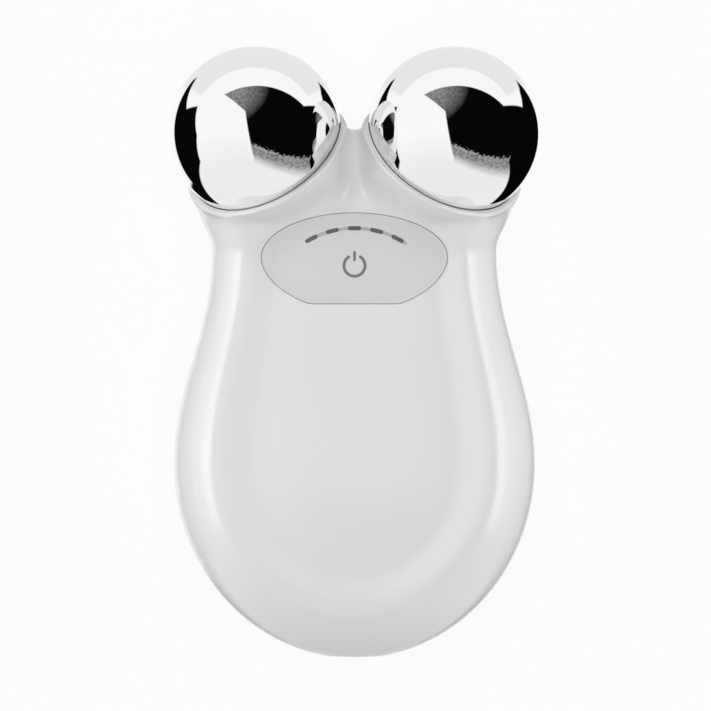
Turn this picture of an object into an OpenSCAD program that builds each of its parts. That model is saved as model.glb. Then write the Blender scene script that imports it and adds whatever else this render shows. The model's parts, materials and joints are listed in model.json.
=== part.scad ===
// Hand-held facial toning device with two ball electrodes.
// It lies on its back: +Z is out of the control panel, +Y is towards the balls,
// and +X is across the body. Lengths are in millimetres, angles in degrees.

/* [Body outline] */
// Widest width of the body
body_w = 62.2; // [58:0.5:67]
// Width of the waist under the balls
waist_w = 48.9; // [46:0.5:53]
// Y of the widest line of the body
widest_y = -18.9; // [-21:0.5:-16]
// Y of the waist
waist_y = 17.6; // [16:0.5:19]
// Length of the round tail below the widest line
tail_len = 33.6; // [32:0.5:37]

/* [Body section] */
// Height of the front crown over the belly
crown_h = 28; // [27.5:0.25:31]
// Height of the front crown at the waist
waist_h = 26; // [25.5:0.25:27.5]
// Depth of the belly's curve below the rest plane, cut flat there
back_dip = 0.8; // [0.4:0.1:1.2]
// Height of the back above the rest plane at the waist
back_rise = 4.5; // [3.5:0.25:5]
// Height of the parting line at Y zero
parting_h = 13.9; // [13.5:0.1:14.5]
// Rise of the parting line per millimetre of Y
parting_slope = 0.0357; // [0.02:0.002:0.045]
// Squareness of the front section
front_power = 2.9; // [2.6:0.1:3.3]
// Squareness of the back section
back_power = 2.5; // [2.3:0.1:2.8]
// Depth of the palm dish in the front
dish_d = 2.4; // [1.4:0.2:2.8]
// Share of the half width from the outline to the dish's upper edge
dish_start = 0.2; // [0.17:0.01:0.24]
// Share of the half width from the outline to the dish's floor
dish_end = 0.46; // [0.4:0.01:0.52]
// Wall thickness of the shells
wall = 1.7; // [1.4:0.1:1.9]

/* [Ball electrodes] */
// Radius of a ball
ball_r = 14.7; // [14.2:0.1:15]
// Wall thickness of the hollow balls
ball_wall = 0.8; // [0.5:0.1:1.5]
// Distance of a ball's centre from the middle plane
ball_x = 17; // [16.8:0.1:18]
// Y of the ball centres
ball_y = 37.8; // [37.4:0.2:39]
// Height of the ball centres
ball_z = 22.3; // [21.8:0.1:23.5]
// Angle by which the ball axes lean up out of the rest plane
ball_lean = 37; // [35:0.5:40]
// Angle by which the ball axes splay outwards
ball_splay = 33.4; // [31:0.5:36]
// Distance of the cup rim below the ball's centre, along its axis
rim_drop = 4.34; // [3.8:0.1:4.8]
// Outer radius of a cup at its rim
cup_r = 15.3; // [15.2:0.1:15.8]
// Gap between a ball and its cup
cup_gap = 0.2; // [0.15:0.05:0.3]
// Share of the cup's depth that is left as it swells down to the rest plane
cup_heel = 0.757; // [0.72:0.01:0.85]
// Y of the bottom of the notch between the balls
notch_y = 38.4; // [38:0.1:39.4]

/* [Control panel] */
// Width of the panel
panel_w = 31.8; // [29:0.2:33]
// Y of the panel's widest line
panel_y = 16.4; // [15.6:0.1:16.8]
// Rise of the panel's upper arc above its widest line
panel_rise = 7.6; // [6.8:0.1:7.9]
// Drop of the panel's flat edge below its widest line
panel_drop = 7.9; // [7.4:0.1:8.4]
// Thickness of the panel above its flange
panel_t = 2.2; // [1.9:0.1:2.5]
// Height by which the panel stands proud of the shell
panel_proud = 0.2; // [0:0.05:0.4]
// Gap round the panel
panel_gap = 0.15; // [0.1:0.05:0.3]
// Travel of the panel when pressed
panel_travel = 0.3; // [0.2:0.05:0.4]
// Width of the flange that keeps the panel in
flange_w = 1.2; // [0.8:0.1:1.5]
// Thickness of the flange
flange_t = 0.8; // [0.6:0.1:1]
// Radius of the arc of lights
arc_r = 15.9; // [14.5:0.1:17]
// Y of the arc's centre
arc_y = 5.5; // [4.6:0.1:6]
// Angle between two windows of the arc
window_step = 13.8; // [12:0.2:14.4]
// Length of a window
window_len = 2.3; // [1.8:0.1:2.8]
// Width of a window
window_w = 0.72; // [0.6:0.02:0.9]
// Outer radius of the power symbol's ring
mark_r = 2.05; // [1.6:0.05:2.4]
// Y of the power symbol's centre
mark_y = 15; // [13.5:0.1:15.8]
// Stroke width of the power symbol
mark_w = 0.5; // [0.35:0.05:0.65]

/* [Circuit board] */
// Width of the board
board_w = 30; // [28:0.5:31]
// Y of the board's lower end
board_low = -29; // [-30:0.25:-28]
// Y of the board's upper end
board_high = 22.2; // [21.9:0.1:22.4]
// Thickness of both boards
board_t = 1; // [0.8:0.1:1.2]
// Distance from the panel's flange down to the board
board_drop = 3.9; // [3.7:0.1:4.2]
// Height of the switch body
switch_h = 2.2; // [2:0.1:2.4]
// Height of the buzzer
buzzer_h = 3.2; // [2.6:0.2:4]
// Radius of the buzzer
buzzer_r = 4.5; // [3.5:0.25:5]
// Radius of the boost coil
coil_r = 3.2; // [2.6:0.2:3.8]

/* [Battery] */
// Width of the battery
battery_w = 28; // [24:0.5:30]
// Length of the battery
battery_l = 32; // [28:0.5:33]
// Thickness of the battery
battery_t = 7; // [5.5:0.25:7.5]
// Height of the ribs' tops that carry the battery
battery_z = 4.6; // [4.2:0.1:4.9]
// Thickness of the foam pad under the battery
pad_t = 0.6; // [0.4:0.1:0.9]

/* [Charging socket] */
// Width of the socket's steel sleeve
socket_w = 8.94; // [8.4:0.1:9.4]
// Height of the socket's steel sleeve
socket_h = 3.26; // [3:0.05:3.5]
// Length of the socket
socket_l = 7.3; // [6.8:0.1:8]
// Gap round the socket in the shells
socket_gap = 0.2; // [0.1:0.05:0.4]

/* [Screws and leads] */
// Radius of the shell screws' shanks
screw_r = 1.1; // [0.9:0.05:1.2]
// Length of the shell screws' shanks
screw_l = 10; // [9:0.25:10.5]
// Radius of the board screws' shanks
board_screw_r = 0.9; // [0.8:0.05:1]
// Radius of the leads
lead_r = 0.5; // [0.4:0.05:0.6]

/* [Hidden] */

SIDES = [-1, 1];
LEFT = -1;
RIGHT = 1;
fit = 0.05;           // running and seating clearance
gap = 0.3;            // clearance between pieces that only lie near each other

// The skin's blends
waist_blend = 4.5;    // from a cup into the waist
rim_blend = 2.2;      // between the two cups at the rim
blend_run = 6;        // distance below the rim over which the blend widens
head_y = 24;          // Y from which the body's section closes in the head
head_len = 10;        // length over which it closes
heel_run = 8;         // distance below the rim over which a cup's heel swells
trim_margin = 1.2;    // the cups' feet keep this far outside the panel
trim_draft = 0.6;     // and draw back by this much per millimetre of height
trim_blend = 3;
guard_blend = 0.5;    // where the trimmed cup follows its ball again
guard_r = norm([cup_r, rim_drop]);
notch_r = 2.4;        // radius of the notch's bottom
notch_slope = 2.2;    // rise of its sides per millimetre of X
notch_drop = 3;       // how far the rims are lowered beside the notch
notch_wall = 1;       // wall that is left there round a ball's pocket
notch_blend = 1.2;

// The rays that find the skin: rings in the tail, the middle and the head
rows = [14, 17, 27];
last_row = rows[0] + rows[1] + rows[2];
half_rays = 30;       // rays in the front or back half of a ring
spine = [-19, 24];    // Y of the ends of the line that the rays start from
spine_crowding = 1.5; // above 1 the middle rings lie closer together towards the head
reach = 75;           // length of a ray
search_steps = 15;

// ---- outer skin, as a field that is negative inside ----

function ease(t) = let (u = min(max(t, 0), 1)) u * u * (3 - 2 * u);
function blend_min(a, b, k) = let (h = max(1 - abs(a - b) / k, 0)) min(a, b) - h * h * k / 4;
function parting_z(y) = parting_h + parting_slope * y;
function taper(y) = 0.5 - 0.5 * cos(180 * min(max((y - widest_y) / (waist_y - widest_y), 0), 1));
function half_width(y) = (body_w + (waist_w - body_w) * taper(y)) / 2;
function front_h(y) = crown_h + (waist_h - crown_h) * taper(y) - parting_z(y);
function back_h(y) = parting_z(y) + back_dip - (back_rise + back_dip) * taper(y);

ball_centre = [ball_x, ball_y, ball_z];
ball_axis = [sin(ball_splay) * cos(ball_lean), cos(ball_splay) * cos(ball_lean), sin(ball_lean)];
cup_centre = ball_centre - rim_drop * ball_axis;

// A superellipse section, loft along Y, with a round tail and the palm dish
function body_field(p) =
    let (w = half_width(p.y), tail = max(widest_y - p.y, 0) / tail_len,
         head = max(p.y - head_y, 0) / head_len, up = p.z - parting_z(p.y),
         inset = p.y > widest_y ? 1 - abs(p.x) / w : 1 - norm([2 * p.x / body_w, tail]),
         dz = up + dish_d * ease((inset - dish_start) / (dish_end - dish_start))
                          * ease(1.6 * up / front_h(p.y) - 0.3),
         h = dz > 0 ? front_h(p.y) : back_h(p.y), power = dz > 0 ? front_power : back_power,
         rho = pow(pow(abs(p.x) / w, power) + pow(abs(dz) / h, power), 1 / power))
    (norm([rho, tail, head]) - 1) * min(h, w);

// The foot of a cup keeps clear of the panel
function trim_field(p) =
    let (b = panel_rise + trim_margin, u = [p.x / (panel_w / 2 + trim_margin), (p.y - panel_y) / b])
    (norm(u) - 1) * b - (p.z - waist_h + dish_d) * trim_draft;

// A round cup about the ball's axis, with a swollen heel behind and a wall round the ball.
// It gives the field and the height above the rim.
function cup_field(p) =
    let (q = p - cup_centre, above = q * ball_axis,
         s = q.z < 0 ? 1 - (1 - cup_heel) * ease(-above / heel_run) : 1,
         r = [q.x, q.y, q.z * s], a = r * ball_axis,
         cup = norm([sqrt(max(r * r - a * a, 0)), min(a, 0)]) - cup_r,
         trimmed = -blend_min(-cup, trim_field(p), trim_blend))
    [blend_min(trimmed, norm(p - ball_centre) - guard_r, guard_blend), above];

function add_cup(f, cup) =
    blend_min(f, cup[0], rim_blend + (waist_blend - rim_blend) * ease(-cup[1] / blend_run));

// Between the balls the skin ends in a rounded notch, and the rims are lower beside it
function notch_field(p, above) =
    let (bend = notch_slope * notch_slope * notch_r,
         past = p.y - notch_y - norm([notch_slope * p.x, bend]) + bend)
    min(past, max(above + notch_drop, norm(p - ball_centre) - ball_r - cup_gap - notch_wall));

// Both halves are alike, so the near cup is always the one on the positive side
function skin_field(p) =
    let (q = [abs(p.x), p.y, p.z], near = cup_field(q),
         whole = add_cup(add_cup(body_field(q), near), cup_field([-q.x, q.y, q.z])))
    -blend_min(-whole, -notch_field(q, near[1]), notch_blend);

// ---- points of the skin ----

function find_edge(o, d, low, high, n = search_steps) =
    n == 0 ? (low + high) / 2
    : let (mid = (low + high) / 2)
      skin_field(o + mid * d) > 0 ? find_edge(o, d, low, mid, n - 1) : find_edge(o, d, mid, high, n - 1);

// Height of the skin over and under a place
function front_z(x, y) = parting_z(y) + find_edge([x, y, parting_z(y)], [0, 0, 1], 0, 25);
function back_z(x, y) = parting_z(y) - find_edge([x, y, parting_z(y)], [0, 0, -1], 0, 25);

function spine_ray(row, turn) =
    let (k = row - rows[0], m = k - rows[1],
         tilt = k < 0 ? 90 * k / rows[0] : m > 0 ? 90 * m / rows[2] : 0,
         y = k < 0 ? spine[0] : m > 0 ? spine[1]
           : spine[1] - (spine[1] - spine[0]) * pow(1 - k / rows[1], spine_crowding))
    [[0, y, parting_z(y)],
     [cos(tilt) * cos(turn), sin(tilt), cos(tilt) * sin(turn) + parting_slope * sin(tilt)]];

// How squarely a ray leaves the skin
function squareness(p, d) =
    let (e = 0.05, f = skin_field(p), g = [skin_field(p + [e, 0, 0]) - f,
         skin_field(p + [0, e, 0]) - f, skin_field(p + [0, 0, e]) - f])
    max(g * d / (norm(g) * norm(d)), 0.4);

function skin_point(row, turn, depth) =
    let (ray = spine_ray(row, turn), p = ray[0] + find_edge(ray[0], ray[1], 0, reach) * ray[1])
    depth == 0 ? p : p - ray[1] / norm(ray[1]) * depth / squareness(p, ray[1]);

// Half of a skin: one pole, the rings between, and the other pole
function half_skin(side, depth) =
    concat([skin_point(0, 0, depth)],
           [for (i = [1 : last_row - 1], j = [0 : half_rays])
            skin_point(i, side * 180 * j / half_rays, depth)],
           [skin_point(last_row, 0, depth)]);

function skin_index(i, j) =
    i == 0 ? 0 : i == last_row ? 1 + (last_row - 1) * (half_rays + 1) : 1 + (i - 1) * (half_rays + 1) + j;

function turned(faces, yes) = yes ? [for (f = faces) [f[2], f[1], f[0]]] : faces;

// The diagonals of the grid are the mirror image of each other on the two sides
function skin_faces(base) =
    [for (i = [0 : last_row - 1], j = [0 : half_rays - 1])
     let (a = base + skin_index(i, j), b = base + skin_index(i + 1, j),
          c = base + skin_index(i + 1, j + 1), d = base + skin_index(i, j + 1))
     each i == 0 ? [[a, b, c]] : i == last_row - 1 ? [[a, b, d]]
        : j < half_rays / 2 ? [[a, b, c], [a, c, d]] : [[a, b, d], [b, c, d]]];

// The flat edge between the outer and inner skins, on the parting plane
function edge_faces(base, j) =
    [for (i = [0 : last_row - 1])
     each [[skin_index(i, j), base + skin_index(i, j), base + skin_index(i + 1, j)],
           [skin_index(i, j), base + skin_index(i + 1, j), skin_index(i + 1, j)]]];

module half_shell(side) {
    outer = half_skin(side, 0);
    inner = half_skin(side, wall);
    base = len(outer);
    front = side > 0;
    polyhedron(concat(outer, inner),
               concat(turned(skin_faces(0), front), turned(skin_faces(base), !front),
                      turned(edge_faces(base, 0), front), turned(edge_faces(base, half_rays), !front)));
}

// ---- places worked out from the sizes ----

panel_top_z = front_z(0, panel_y) + panel_proud;
flange_top_z = panel_top_z - panel_t;
flange_low_z = flange_top_z - flange_t;
board_z = flange_low_z - board_drop;          // top of the main board
board_under_z = board_z - board_t;
panel_curve = 1.18 * panel_drop;              // how far the lower curve would run past the flat edge
panel_power = 1.85;
outline_steps = 64;

screw_head_r = 2;
screw_head_h = 1.5;
boss_r = 3;
boss_floor = 3;                               // plastic under a shell screw's head
parting_gap = 0.2;                            // from a boss's end to the parting plane
thread_end = 0.5;                             // free depth of a hole past its screw's end
rim_w = 1.2;                                  // shell's thick rim outside the panel's flange
screw_x = [21.5, 19];                         // lower and upper pairs of shell screws
screw_y = [-26, 2];
head_screw_y = 28;
frame_low = 11.6;                             // underside of the head frame's middle
frame_h = 4;
head_floor = 1.6;                             // plastic under the head screw

board_boss_r = 2;
board_round = 3;                              // corners of the main board
board_screw_l = 5;
board_head_r = 1.7;
board_head_h = 1.1;
board_fix_x = board_w / 2 - 2.5;
board_fix_y = [board_low + 3.5, 4];

socket_z = parting_z(widest_y - tail_len);
socket_mouth_y = widest_y - tail_len + 0.8;
sleeve_t = 0.3;
charge_top_z = socket_z - socket_h / 2;
charge_low_y = socket_mouth_y + 4.2;
charge_high_y = charge_low_y + 9.6;
charge_w = 16;
charge_fix = [5.8, charge_high_y - 2.6];

battery_y = charge_high_y + 1.8;              // lower end of the battery
rib_y = [battery_y + 6, battery_y + battery_l - 8];
rib_t = 1.2;
rib_w = 20;
pad_inset = 2;                                // from the battery's ends to the pad's

// Along a ball's axis, measured from its centre
seal_top = 7.6;
seal_low = 8.8;
seal_t = 0.65;
foot_end = ball_r + 1.2;                      // underside of the stud's collar
frame_pad = 2;
ring_t = 0.5;
nut_t = 2;
stud_end = foot_end + frame_pad + ring_t + nut_t + 0.6;
stud_r = 1.5;
collar_r = 4;
collar_h = 2;
plug_r = 3.2;
plug_run = 1.5;       // how far the plug stands into the hollow ball
pad_r = 5;            // end pads of the head frame's arms
ring_r = 3.1;
tail_turn = 80;
tail_l = 5.5;
tail_w = 1.6;

// Places on a ball's axis, its own +Z being outwards
module on_axis(side) {
    mirror([side < 0 ? 1 : 0, 0, 0]) translate(ball_centre)
        rotate([0, 90 - ball_lean, 90 - ball_splay]) children();
}

module at(x, y, z) { translate([x, y, z]) children(); }

module tube(r1, r2, h) {
    difference() {
        cylinder(r = r1, h = h, $fn = 48);
        at(0, 0, -1) cylinder(r = r2, h = h + 2, $fn = 48);
    }
}

module box(w, y0, y1, z0, z1, x = 0) { at(x - w / 2, y0, z0) cube([w, y1 - y0, z1 - z0]); }

// ---- panel outline and its layers ----

function power_of(v, p) = sign(v) * pow(abs(v), p);

// A half ellipse above, a fuller curve below, and a flat edge
function panel_edge(t, grow) =
    t <= 180 ? [(panel_w / 2 + grow) * cos(t), panel_y + (panel_rise + grow) * sin(t)]
    : [(panel_w / 2 + grow) * power_of(cos(t), 2 / panel_power),
       panel_y + max((panel_curve + grow) * power_of(sin(t), 2 / panel_power), -panel_drop - grow)];

function panel_outline(grow) = [for (i = [0 : outline_steps - 1]) panel_edge(360 * i / outline_steps, grow)];

module panel_prism(grow, low, high) {
    at(0, 0, low) linear_extrude(high - low) polygon(panel_outline(grow));
}

// A slab whose top follows the shell's skin
module panel_slab(grow, lift, low, rings = 4) {
    edge = panel_outline(grow);
    n = len(edge);
    mid = [0, panel_y];
    flat = [for (k = [1 : rings], p = edge) mid + (p - mid) * k / rings];
    points = concat([[0, panel_y, front_z(0, panel_y) + lift]],
                    [for (p = flat) [p.x, p.y, front_z(p.x, p.y) + lift]],
                    [for (p = edge) [p.x, p.y, low]], [[0, panel_y, low]]);
    foot = 1 + rings * n;
    polyhedron(points,
        [for (j = [0 : n - 1]) let (k = (j + 1) % n)
         each [[0, 1 + k, 1 + j], [foot + j, foot + k, foot + n],
               for (r = [0 : rings - 1]) each [[1 + r * n + j, 1 + r * n + k, 1 + (r + 1) * n + k],
                                              [1 + r * n + j, 1 + (r + 1) * n + k, 1 + (r + 1) * n + j]]]]);
}

// A piece of the ring that the lights lie on, from angle a to b off +Y, with round ends
module arc_piece(w, a, b, low, high) {
    point = function (t, r) [r * sin(t), r * cos(t)];
    at(0, arc_y, low) {
        intersection() {
            difference() {
                cylinder(r = arc_r + w / 2, h = high - low, $fn = 96);
                at(0, 0, -1) cylinder(r = arc_r - w / 2, h = high - low + 2, $fn = 96);
            }
            at(0, 0, -1) linear_extrude(high - low + 2)
                polygon([[0, 0], point(a, 2 * arc_r), point((a + b) / 2, 2 * arc_r), point(b, 2 * arc_r)]);
        }
        for (t = [a, b]) translate(concat(point(t, arc_r), 0)) cylinder(r = w / 2, h = high - low, $fn = 24);
    }
}

strip_w = 0.56;       // width of the light strip between the windows
strip_ends = [-32, 34];
window_depth = 0.6;
mark_depth = 0.3;
post_l = 0.9;         // post under the panel that meets the switch's plunger
post_r = 1.6;
plunger_r = 1.2;
plunger_l = 1.9;
plunger_top = flange_low_z - post_l;
led_turns = [for (i = [-2 : 2]) i * window_step];
window_half = 90 * (window_len - window_w) / (PI * arc_r);

module strip_shape(low, high) { arc_piece(strip_w, strip_ends[0], strip_ends[1], low, high); }

module window_shapes(low, high) {
    for (t = led_turns) arc_piece(window_w, t - window_half, t + window_half, low, high);
}

module mark_shape(low, high) {
    at(0, mark_y, low) linear_extrude(high - low) {
        difference() {
            circle(mark_r, $fn = 64);
            circle(mark_r - mark_w, $fn = 64);
            translate([-1.5 * mark_w, 0]) square([3 * mark_w, 2 * mark_r]);
        }
        translate([-mark_w / 2, 0.36 * mark_r]) square([mark_w, 0.86 * mark_r]);
    }
}

// ---- shells ----

// The seal's outer shape, and with grow the groove that it lies in
module seal_ring(grow) {
    edge = function (a) sqrt(pow(ball_r + seal_t + grow, 2) - a * a);
    rotate_extrude($fn = 96) polygon([[ball_r / 2, -seal_low - grow], [edge(seal_low), -seal_low - grow],
                                      [edge(seal_top), -seal_top + grow], [ball_r / 2, -seal_top + grow]]);
}

// What the rims leave free, the pockets of the balls and the grooves of their seals
module head_cuts() {
    for (side = SIDES) {
        on_axis(side) seal_ring(fit);
        intersection() {
            on_axis(side) at(-60, -60, -rim_drop) cube([120, 120, 80]);
            at(side > 0 ? 0 : -80, 0, 0) cube([80, 90, 90]);
        }
        mirror([side < 0 ? 1 : 0, 0, 0]) translate(ball_centre) sphere(ball_r + cup_gap, $fn = 96);
    }
}

// A flat-sided oval bar along Y: the socket's sleeve, and its hole in the shells
module socket_block(grow, y0, y1) {
    r = socket_h / 2 + grow;
    middle = socket_w / 2 + grow - r;
    at(0, y1, socket_z) rotate([90, 0, 0]) {
        for (side = SIDES) at(side * middle, 0, 0) cylinder(r = r, h = y1 - y0, $fn = 48);
        at(-middle, -r, 0) cube([2 * middle, 2 * r, y1 - y0]);
    }
}

module socket_hole() { socket_block(socket_gap, socket_mouth_y - 5, charge_low_y - gap); }

// Four screws hold the body and one holds the head
screw_places = concat([for (side = SIDES, i = [0, 1]) [side * screw_x[i], screw_y[i]]], [[0, head_screw_y]]);
function is_head(p) = p.y == head_screw_y;
function seat_z(p) = is_head(p) ? frame_low - head_floor : parting_z(p.y) - boss_floor;
board_places = [for (side = SIDES, y = board_fix_y) [side * board_fix_x, y]];
charge_places = [for (side = SIDES) [side * charge_fix.x, charge_fix.y]];

function ring_of(p, r) = [for (t = [0 : 45 : 315]) p + r * [cos(t), sin(t)]];
function wall_top(p, r) = min([for (q = ring_of(p, r)) front_z(q.x, q.y)]) - wall / 2;
function wall_low(p, r) = max([for (q = ring_of(p, r)) back_z(q.x, q.y)]) + wall / 2;

module front_boss(p, r, low) { at(p.x, p.y, low) cylinder(r = r, h = wall_top(p, r) - low, $fn = 48); }
module back_post(p, r, high) {
    at(p.x, p.y, wall_low(p, r)) cylinder(r = r, h = high - wall_low(p, r), $fn = 48);
}
module hole(p, r, low, high) { at(p.x, p.y, low) cylinder(r = r, h = high - low, $fn = 48); }

module front_shell() color("white") difference() {
    union() {
        half_shell(1);
        panel_slab(flange_w + rim_w, -wall / 3, flange_low_z - panel_travel);
        for (p = screw_places) front_boss(p, boss_r, is_head(p) ? frame_low + frame_h + parting_gap
                                                                : parting_z(p.y) + parting_gap);
        for (p = board_places) front_boss(p, board_boss_r, board_z);
    }
    head_cuts();
    socket_hole();
    panel_prism(panel_gap, 0, 60);
    panel_prism(flange_w + gap, 0, flange_top_z + fit);
    for (p = screw_places) hole(p, screw_r + fit, seat_z(p), seat_z(p) + screw_l + thread_end);
    for (p = board_places) hole(p, board_screw_r + fit, 0, board_under_z + board_screw_l + thread_end);
}

module back_shell() color("whitesmoke") difference() {
    union() {
        half_shell(-1);
        for (p = screw_places) back_post(p, boss_r, is_head(p) ? frame_low - parting_gap
                                                               : parting_z(p.y) - parting_gap);
        for (p = charge_places) back_post(p, board_boss_r, charge_top_z - board_t);
        for (y = rib_y) box(rib_w, y - rib_t / 2, y + rib_t / 2, wall_low([rib_w / 2, y], 0), battery_z);
    }
    head_cuts();
    socket_hole();
    at(-50, -70, -10) cube([100, 140, 10]);
    for (p = screw_places) {
        hole(p, screw_head_r + gap, -5, seat_z(p));
        hole(p, screw_r + gap, -5, 40);
    }
    for (p = charge_places) hole(p, board_screw_r + fit, charge_top_z - board_screw_l - thread_end, 40);
}

// ---- balls and what carries them ----

module ball(side) color("silver") on_axis(side) difference() {
    sphere(ball_r, $fn = 96);
    sphere(ball_r - ball_wall, $fn = 96);
    at(0, 0, -ball_r - 1) cylinder(r = plug_r + fit, h = ball_r, $fn = 48);
}

module ball_stud(side) color("gainsboro") on_axis(side) {
    difference() {
        union() {
            at(0, 0, -foot_end) cylinder(r = collar_r, h = collar_h, $fn = 48);
            at(0, 0, -foot_end) cylinder(r = plug_r, h = foot_end - ball_r + ball_wall + plug_run, $fn = 48);
        }
        // the collar's upper face follows the ball
        difference() {
            sphere(ball_r + fit, $fn = 96);
            at(0, 0, -foot_end) cylinder(r = plug_r, h = foot_end, $fn = 48);
        }
    }
    at(0, 0, -stud_end) cylinder(r = stud_r, h = stud_end - foot_end + collar_h / 4, $fn = 48);
}

module ball_seal(side) color("gray") {
    on_axis(side) difference() {
        seal_ring(0);
        sphere(ball_r + fit, $fn = 96);
    }
}

module head_frame() color("dimgray") difference() {
    union() {
        for (side = SIDES) hull() {
            on_axis(side) at(0, 0, -foot_end - frame_pad - gap)
                cylinder(r = pad_r, h = frame_pad + gap, $fn = 32);
            at(0, head_screw_y, frame_low) cylinder(r = boss_r, h = frame_h, $fn = 32);
        }
        at(0, head_screw_y, frame_low) cylinder(r = boss_r, h = frame_h, $fn = 48);
    }
    for (side = SIDES) on_axis(side) {
        sphere(ball_r + gap, $fn = 96);
        at(0, 0, -foot_end) cylinder(r = collar_r + gap, h = 8, $fn = 48);
        at(0, 0, -foot_end - 8) cylinder(r = stud_r + fit, h = 20, $fn = 48);
        at(0, 0, -foot_end - frame_pad - 12) cylinder(r = tail_l + 1, h = 12, $fn = 48);
    }
    hole([0, head_screw_y], screw_r + gap, 0, 40);
    hole([0, head_screw_y], boss_r + gap, 0, frame_low);
    hole([0, head_screw_y], boss_r + gap, frame_low + frame_h, 40);
}

module ball_nuts() color("goldenrod") for (side = SIDES) on_axis(side)
    at(0, 0, -foot_end - frame_pad - ring_t - nut_t) difference() {
        cylinder(r = ring_r, h = nut_t, $fn = 6);
        at(0, 0, -1) cylinder(r = stud_r + fit, h = nut_t + 2, $fn = 48);
    }

module contact_ring(side) color("khaki") on_axis(side) at(0, 0, -foot_end - frame_pad - ring_t) difference() {
    union() {
        cylinder(r = ring_r, h = ring_t, $fn = 48);
        rotate([0, 0, 180 + tail_turn]) at(0, -tail_w / 2, 0) cube([tail_l, tail_w, ring_t]);
    }
    at(0, 0, -1) cylinder(r = stud_r + fit, h = ring_t + 2, $fn = 48);
}

// ---- leads, as tubes along chosen routes ----

function smooth_point(a, b, c, d, t) =
    0.5 * ((2 * b) + (c - a) * t + (2 * a - 5 * b + 4 * c - d) * t * t + (3 * b - a - 3 * c + d) * t * t * t);

function smooth_route(pts, steps = 3) = let (n = len(pts))
    concat([for (i = [0 : n - 2], k = [0 : steps - 1])
            smooth_point(pts[max(i - 1, 0)], pts[i], pts[i + 1], pts[min(i + 2, n - 1)], k / steps)],
           [pts[n - 1]]);

function unit(v) = v / norm(v);

module lead(route, sides = 8) {
    path = smooth_route(route);
    n = len(path);
    last = len(route) - 1;
    heading = [for (i = [0 : n - 1]) i == 0 ? unit(route[1] - route[0])
               : i == n - 1 ? unit(route[last] - route[last - 1]) : unit(path[i + 1] - path[i - 1])];
    // every ring is square to the route and keeps its corners in line with the X axis
    points = [for (i = [0 : n - 1]) let (across = unit(cross(heading[i], [1, 0.01, 0.02])),
              other = cross(heading[i], across))
              for (j = [0 : sides - 1]) path[i] + lead_r * (across * cos(360 * j / sides)
                                                            + other * sin(360 * j / sides))];
    walls = [for (i = [0 : n - 2], j = [0 : sides - 1])
             let (k = (j + 1) % sides, a = i * sides, b = a + sides)
             each [[a + j, a + k, b + k], [a + j, b + k, b + j]]];
    ends = [for (j = [1 : sides - 2]) each [[0, j + 1, j], [(n - 1) * sides, (n - 1) * sides + j,
                                                           (n - 1) * sides + j + 1]]];
    polyhedron(points, concat(turned(walls, true), turned(ends, true)));
}

function mirrored(pts, side) = [for (p = pts) [side * p.x, p.y, p.z]];

ball_route = [[13.4, 21.6, 12.1], [13.5, 20.4, 12.2], [13.3, 18.9, 12.9], [13, 18, 14.6],
              [13, 18, board_under_z]];
plug_y = 6.6;
battery_route = [[1.3, battery_y + battery_l, 9], [1.3, battery_y + battery_l + 1.2, 9],
                 [1.3, 3.5, 8.6], [1.2, 7.5, 9.2], [1, 9.2, 11.5], [1, 8.4, 13.9], [1, 7.6, 14.1],
                 [1, plug_y, 14.1]];
charge_route = [[3, charge_high_y - 1.2, charge_top_z], [3, charge_high_y - 1.2, charge_top_z + 1.6],
                [3, charge_high_y + 0.8, 13.6], [3, -33, 13.9], [3, -29.5, 14.1],
                [3, board_low + 1.8, 14.7], [3, board_low + 1.8, board_under_z]];

module ball_lead(side) color("white") lead(mirrored(ball_route, side));
module battery_lead(side) color(side > 0 ? "red" : "black") lead(mirrored(battery_route, side));
module charge_lead(side) color(side > 0 ? "red" : "black") lead(mirrored(charge_route, side));

// ---- control panel ----

module control_panel() color("lightgray") difference() {
    union() {
        panel_slab(0, panel_proud, flange_top_z);
        panel_prism(flange_w, flange_low_z, flange_top_z);
        at(0, mark_y, plunger_top)
            cylinder(r = post_r, h = flange_low_z - plunger_top + flange_t / 2, $fn = 48);
    }
    strip_shape(0, 60);
    window_shapes(panel_top_z - window_depth, 60);
    mark_shape(panel_top_z - mark_depth, 60);
}

module level_strip() color("silver") difference() {
    intersection() {
        panel_slab(0, panel_proud, flange_low_z);
        strip_shape(0, 60);
    }
    window_shapes(panel_top_z - window_depth, 60);
}

module level_windows() color("dimgray") intersection() {
    panel_slab(0, panel_proud, flange_low_z);
    window_shapes(panel_top_z - window_depth, 60);
}

module power_mark() color("gray") intersection() {
    panel_slab(0, panel_proud, flange_low_z);
    mark_shape(panel_top_z - mark_depth, 60);
}

// ---- main board and its parts ----

switch_w = 5;

module switch_plunger() color("black")
    at(0, mark_y, plunger_top - plunger_l) cylinder(r = plunger_r, h = plunger_l, $fn = 48);

module switch_body() color("silver") difference() {
    at(-switch_w / 2, mark_y - switch_w / 2, board_z) cube([switch_w, switch_w, switch_h]);
    at(0, mark_y, plunger_top - plunger_l - panel_travel - gap)
        cylinder(r = plunger_r + fit, h = switch_h, $fn = 48);
}

module circuit_board() color("darkgreen") difference() {
    at(0, 0, board_under_z) linear_extrude(board_t) hull()
        for (side = SIDES, y = [board_low + board_round, board_high - board_round])
            translate([side * (board_w / 2 - board_round), y]) circle(board_round, $fn = 32);
    for (p = board_places) hole(p, board_screw_r + gap, 0, 40);
}

led_l = 1.6;
led_w = 0.8;
led_h = 0.6;
shroud_hole_r = 1.1;
shroud_t = 1.5;       // from the arc of lights to the shroud's inner or outer edge
module level_leds() color("white") for (t = led_turns) at(0, arc_y, board_z) rotate([0, 0, t])
    at(-led_l / 2, arc_r - led_w / 2, 0) cube([led_l, led_w, led_h]);

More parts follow.
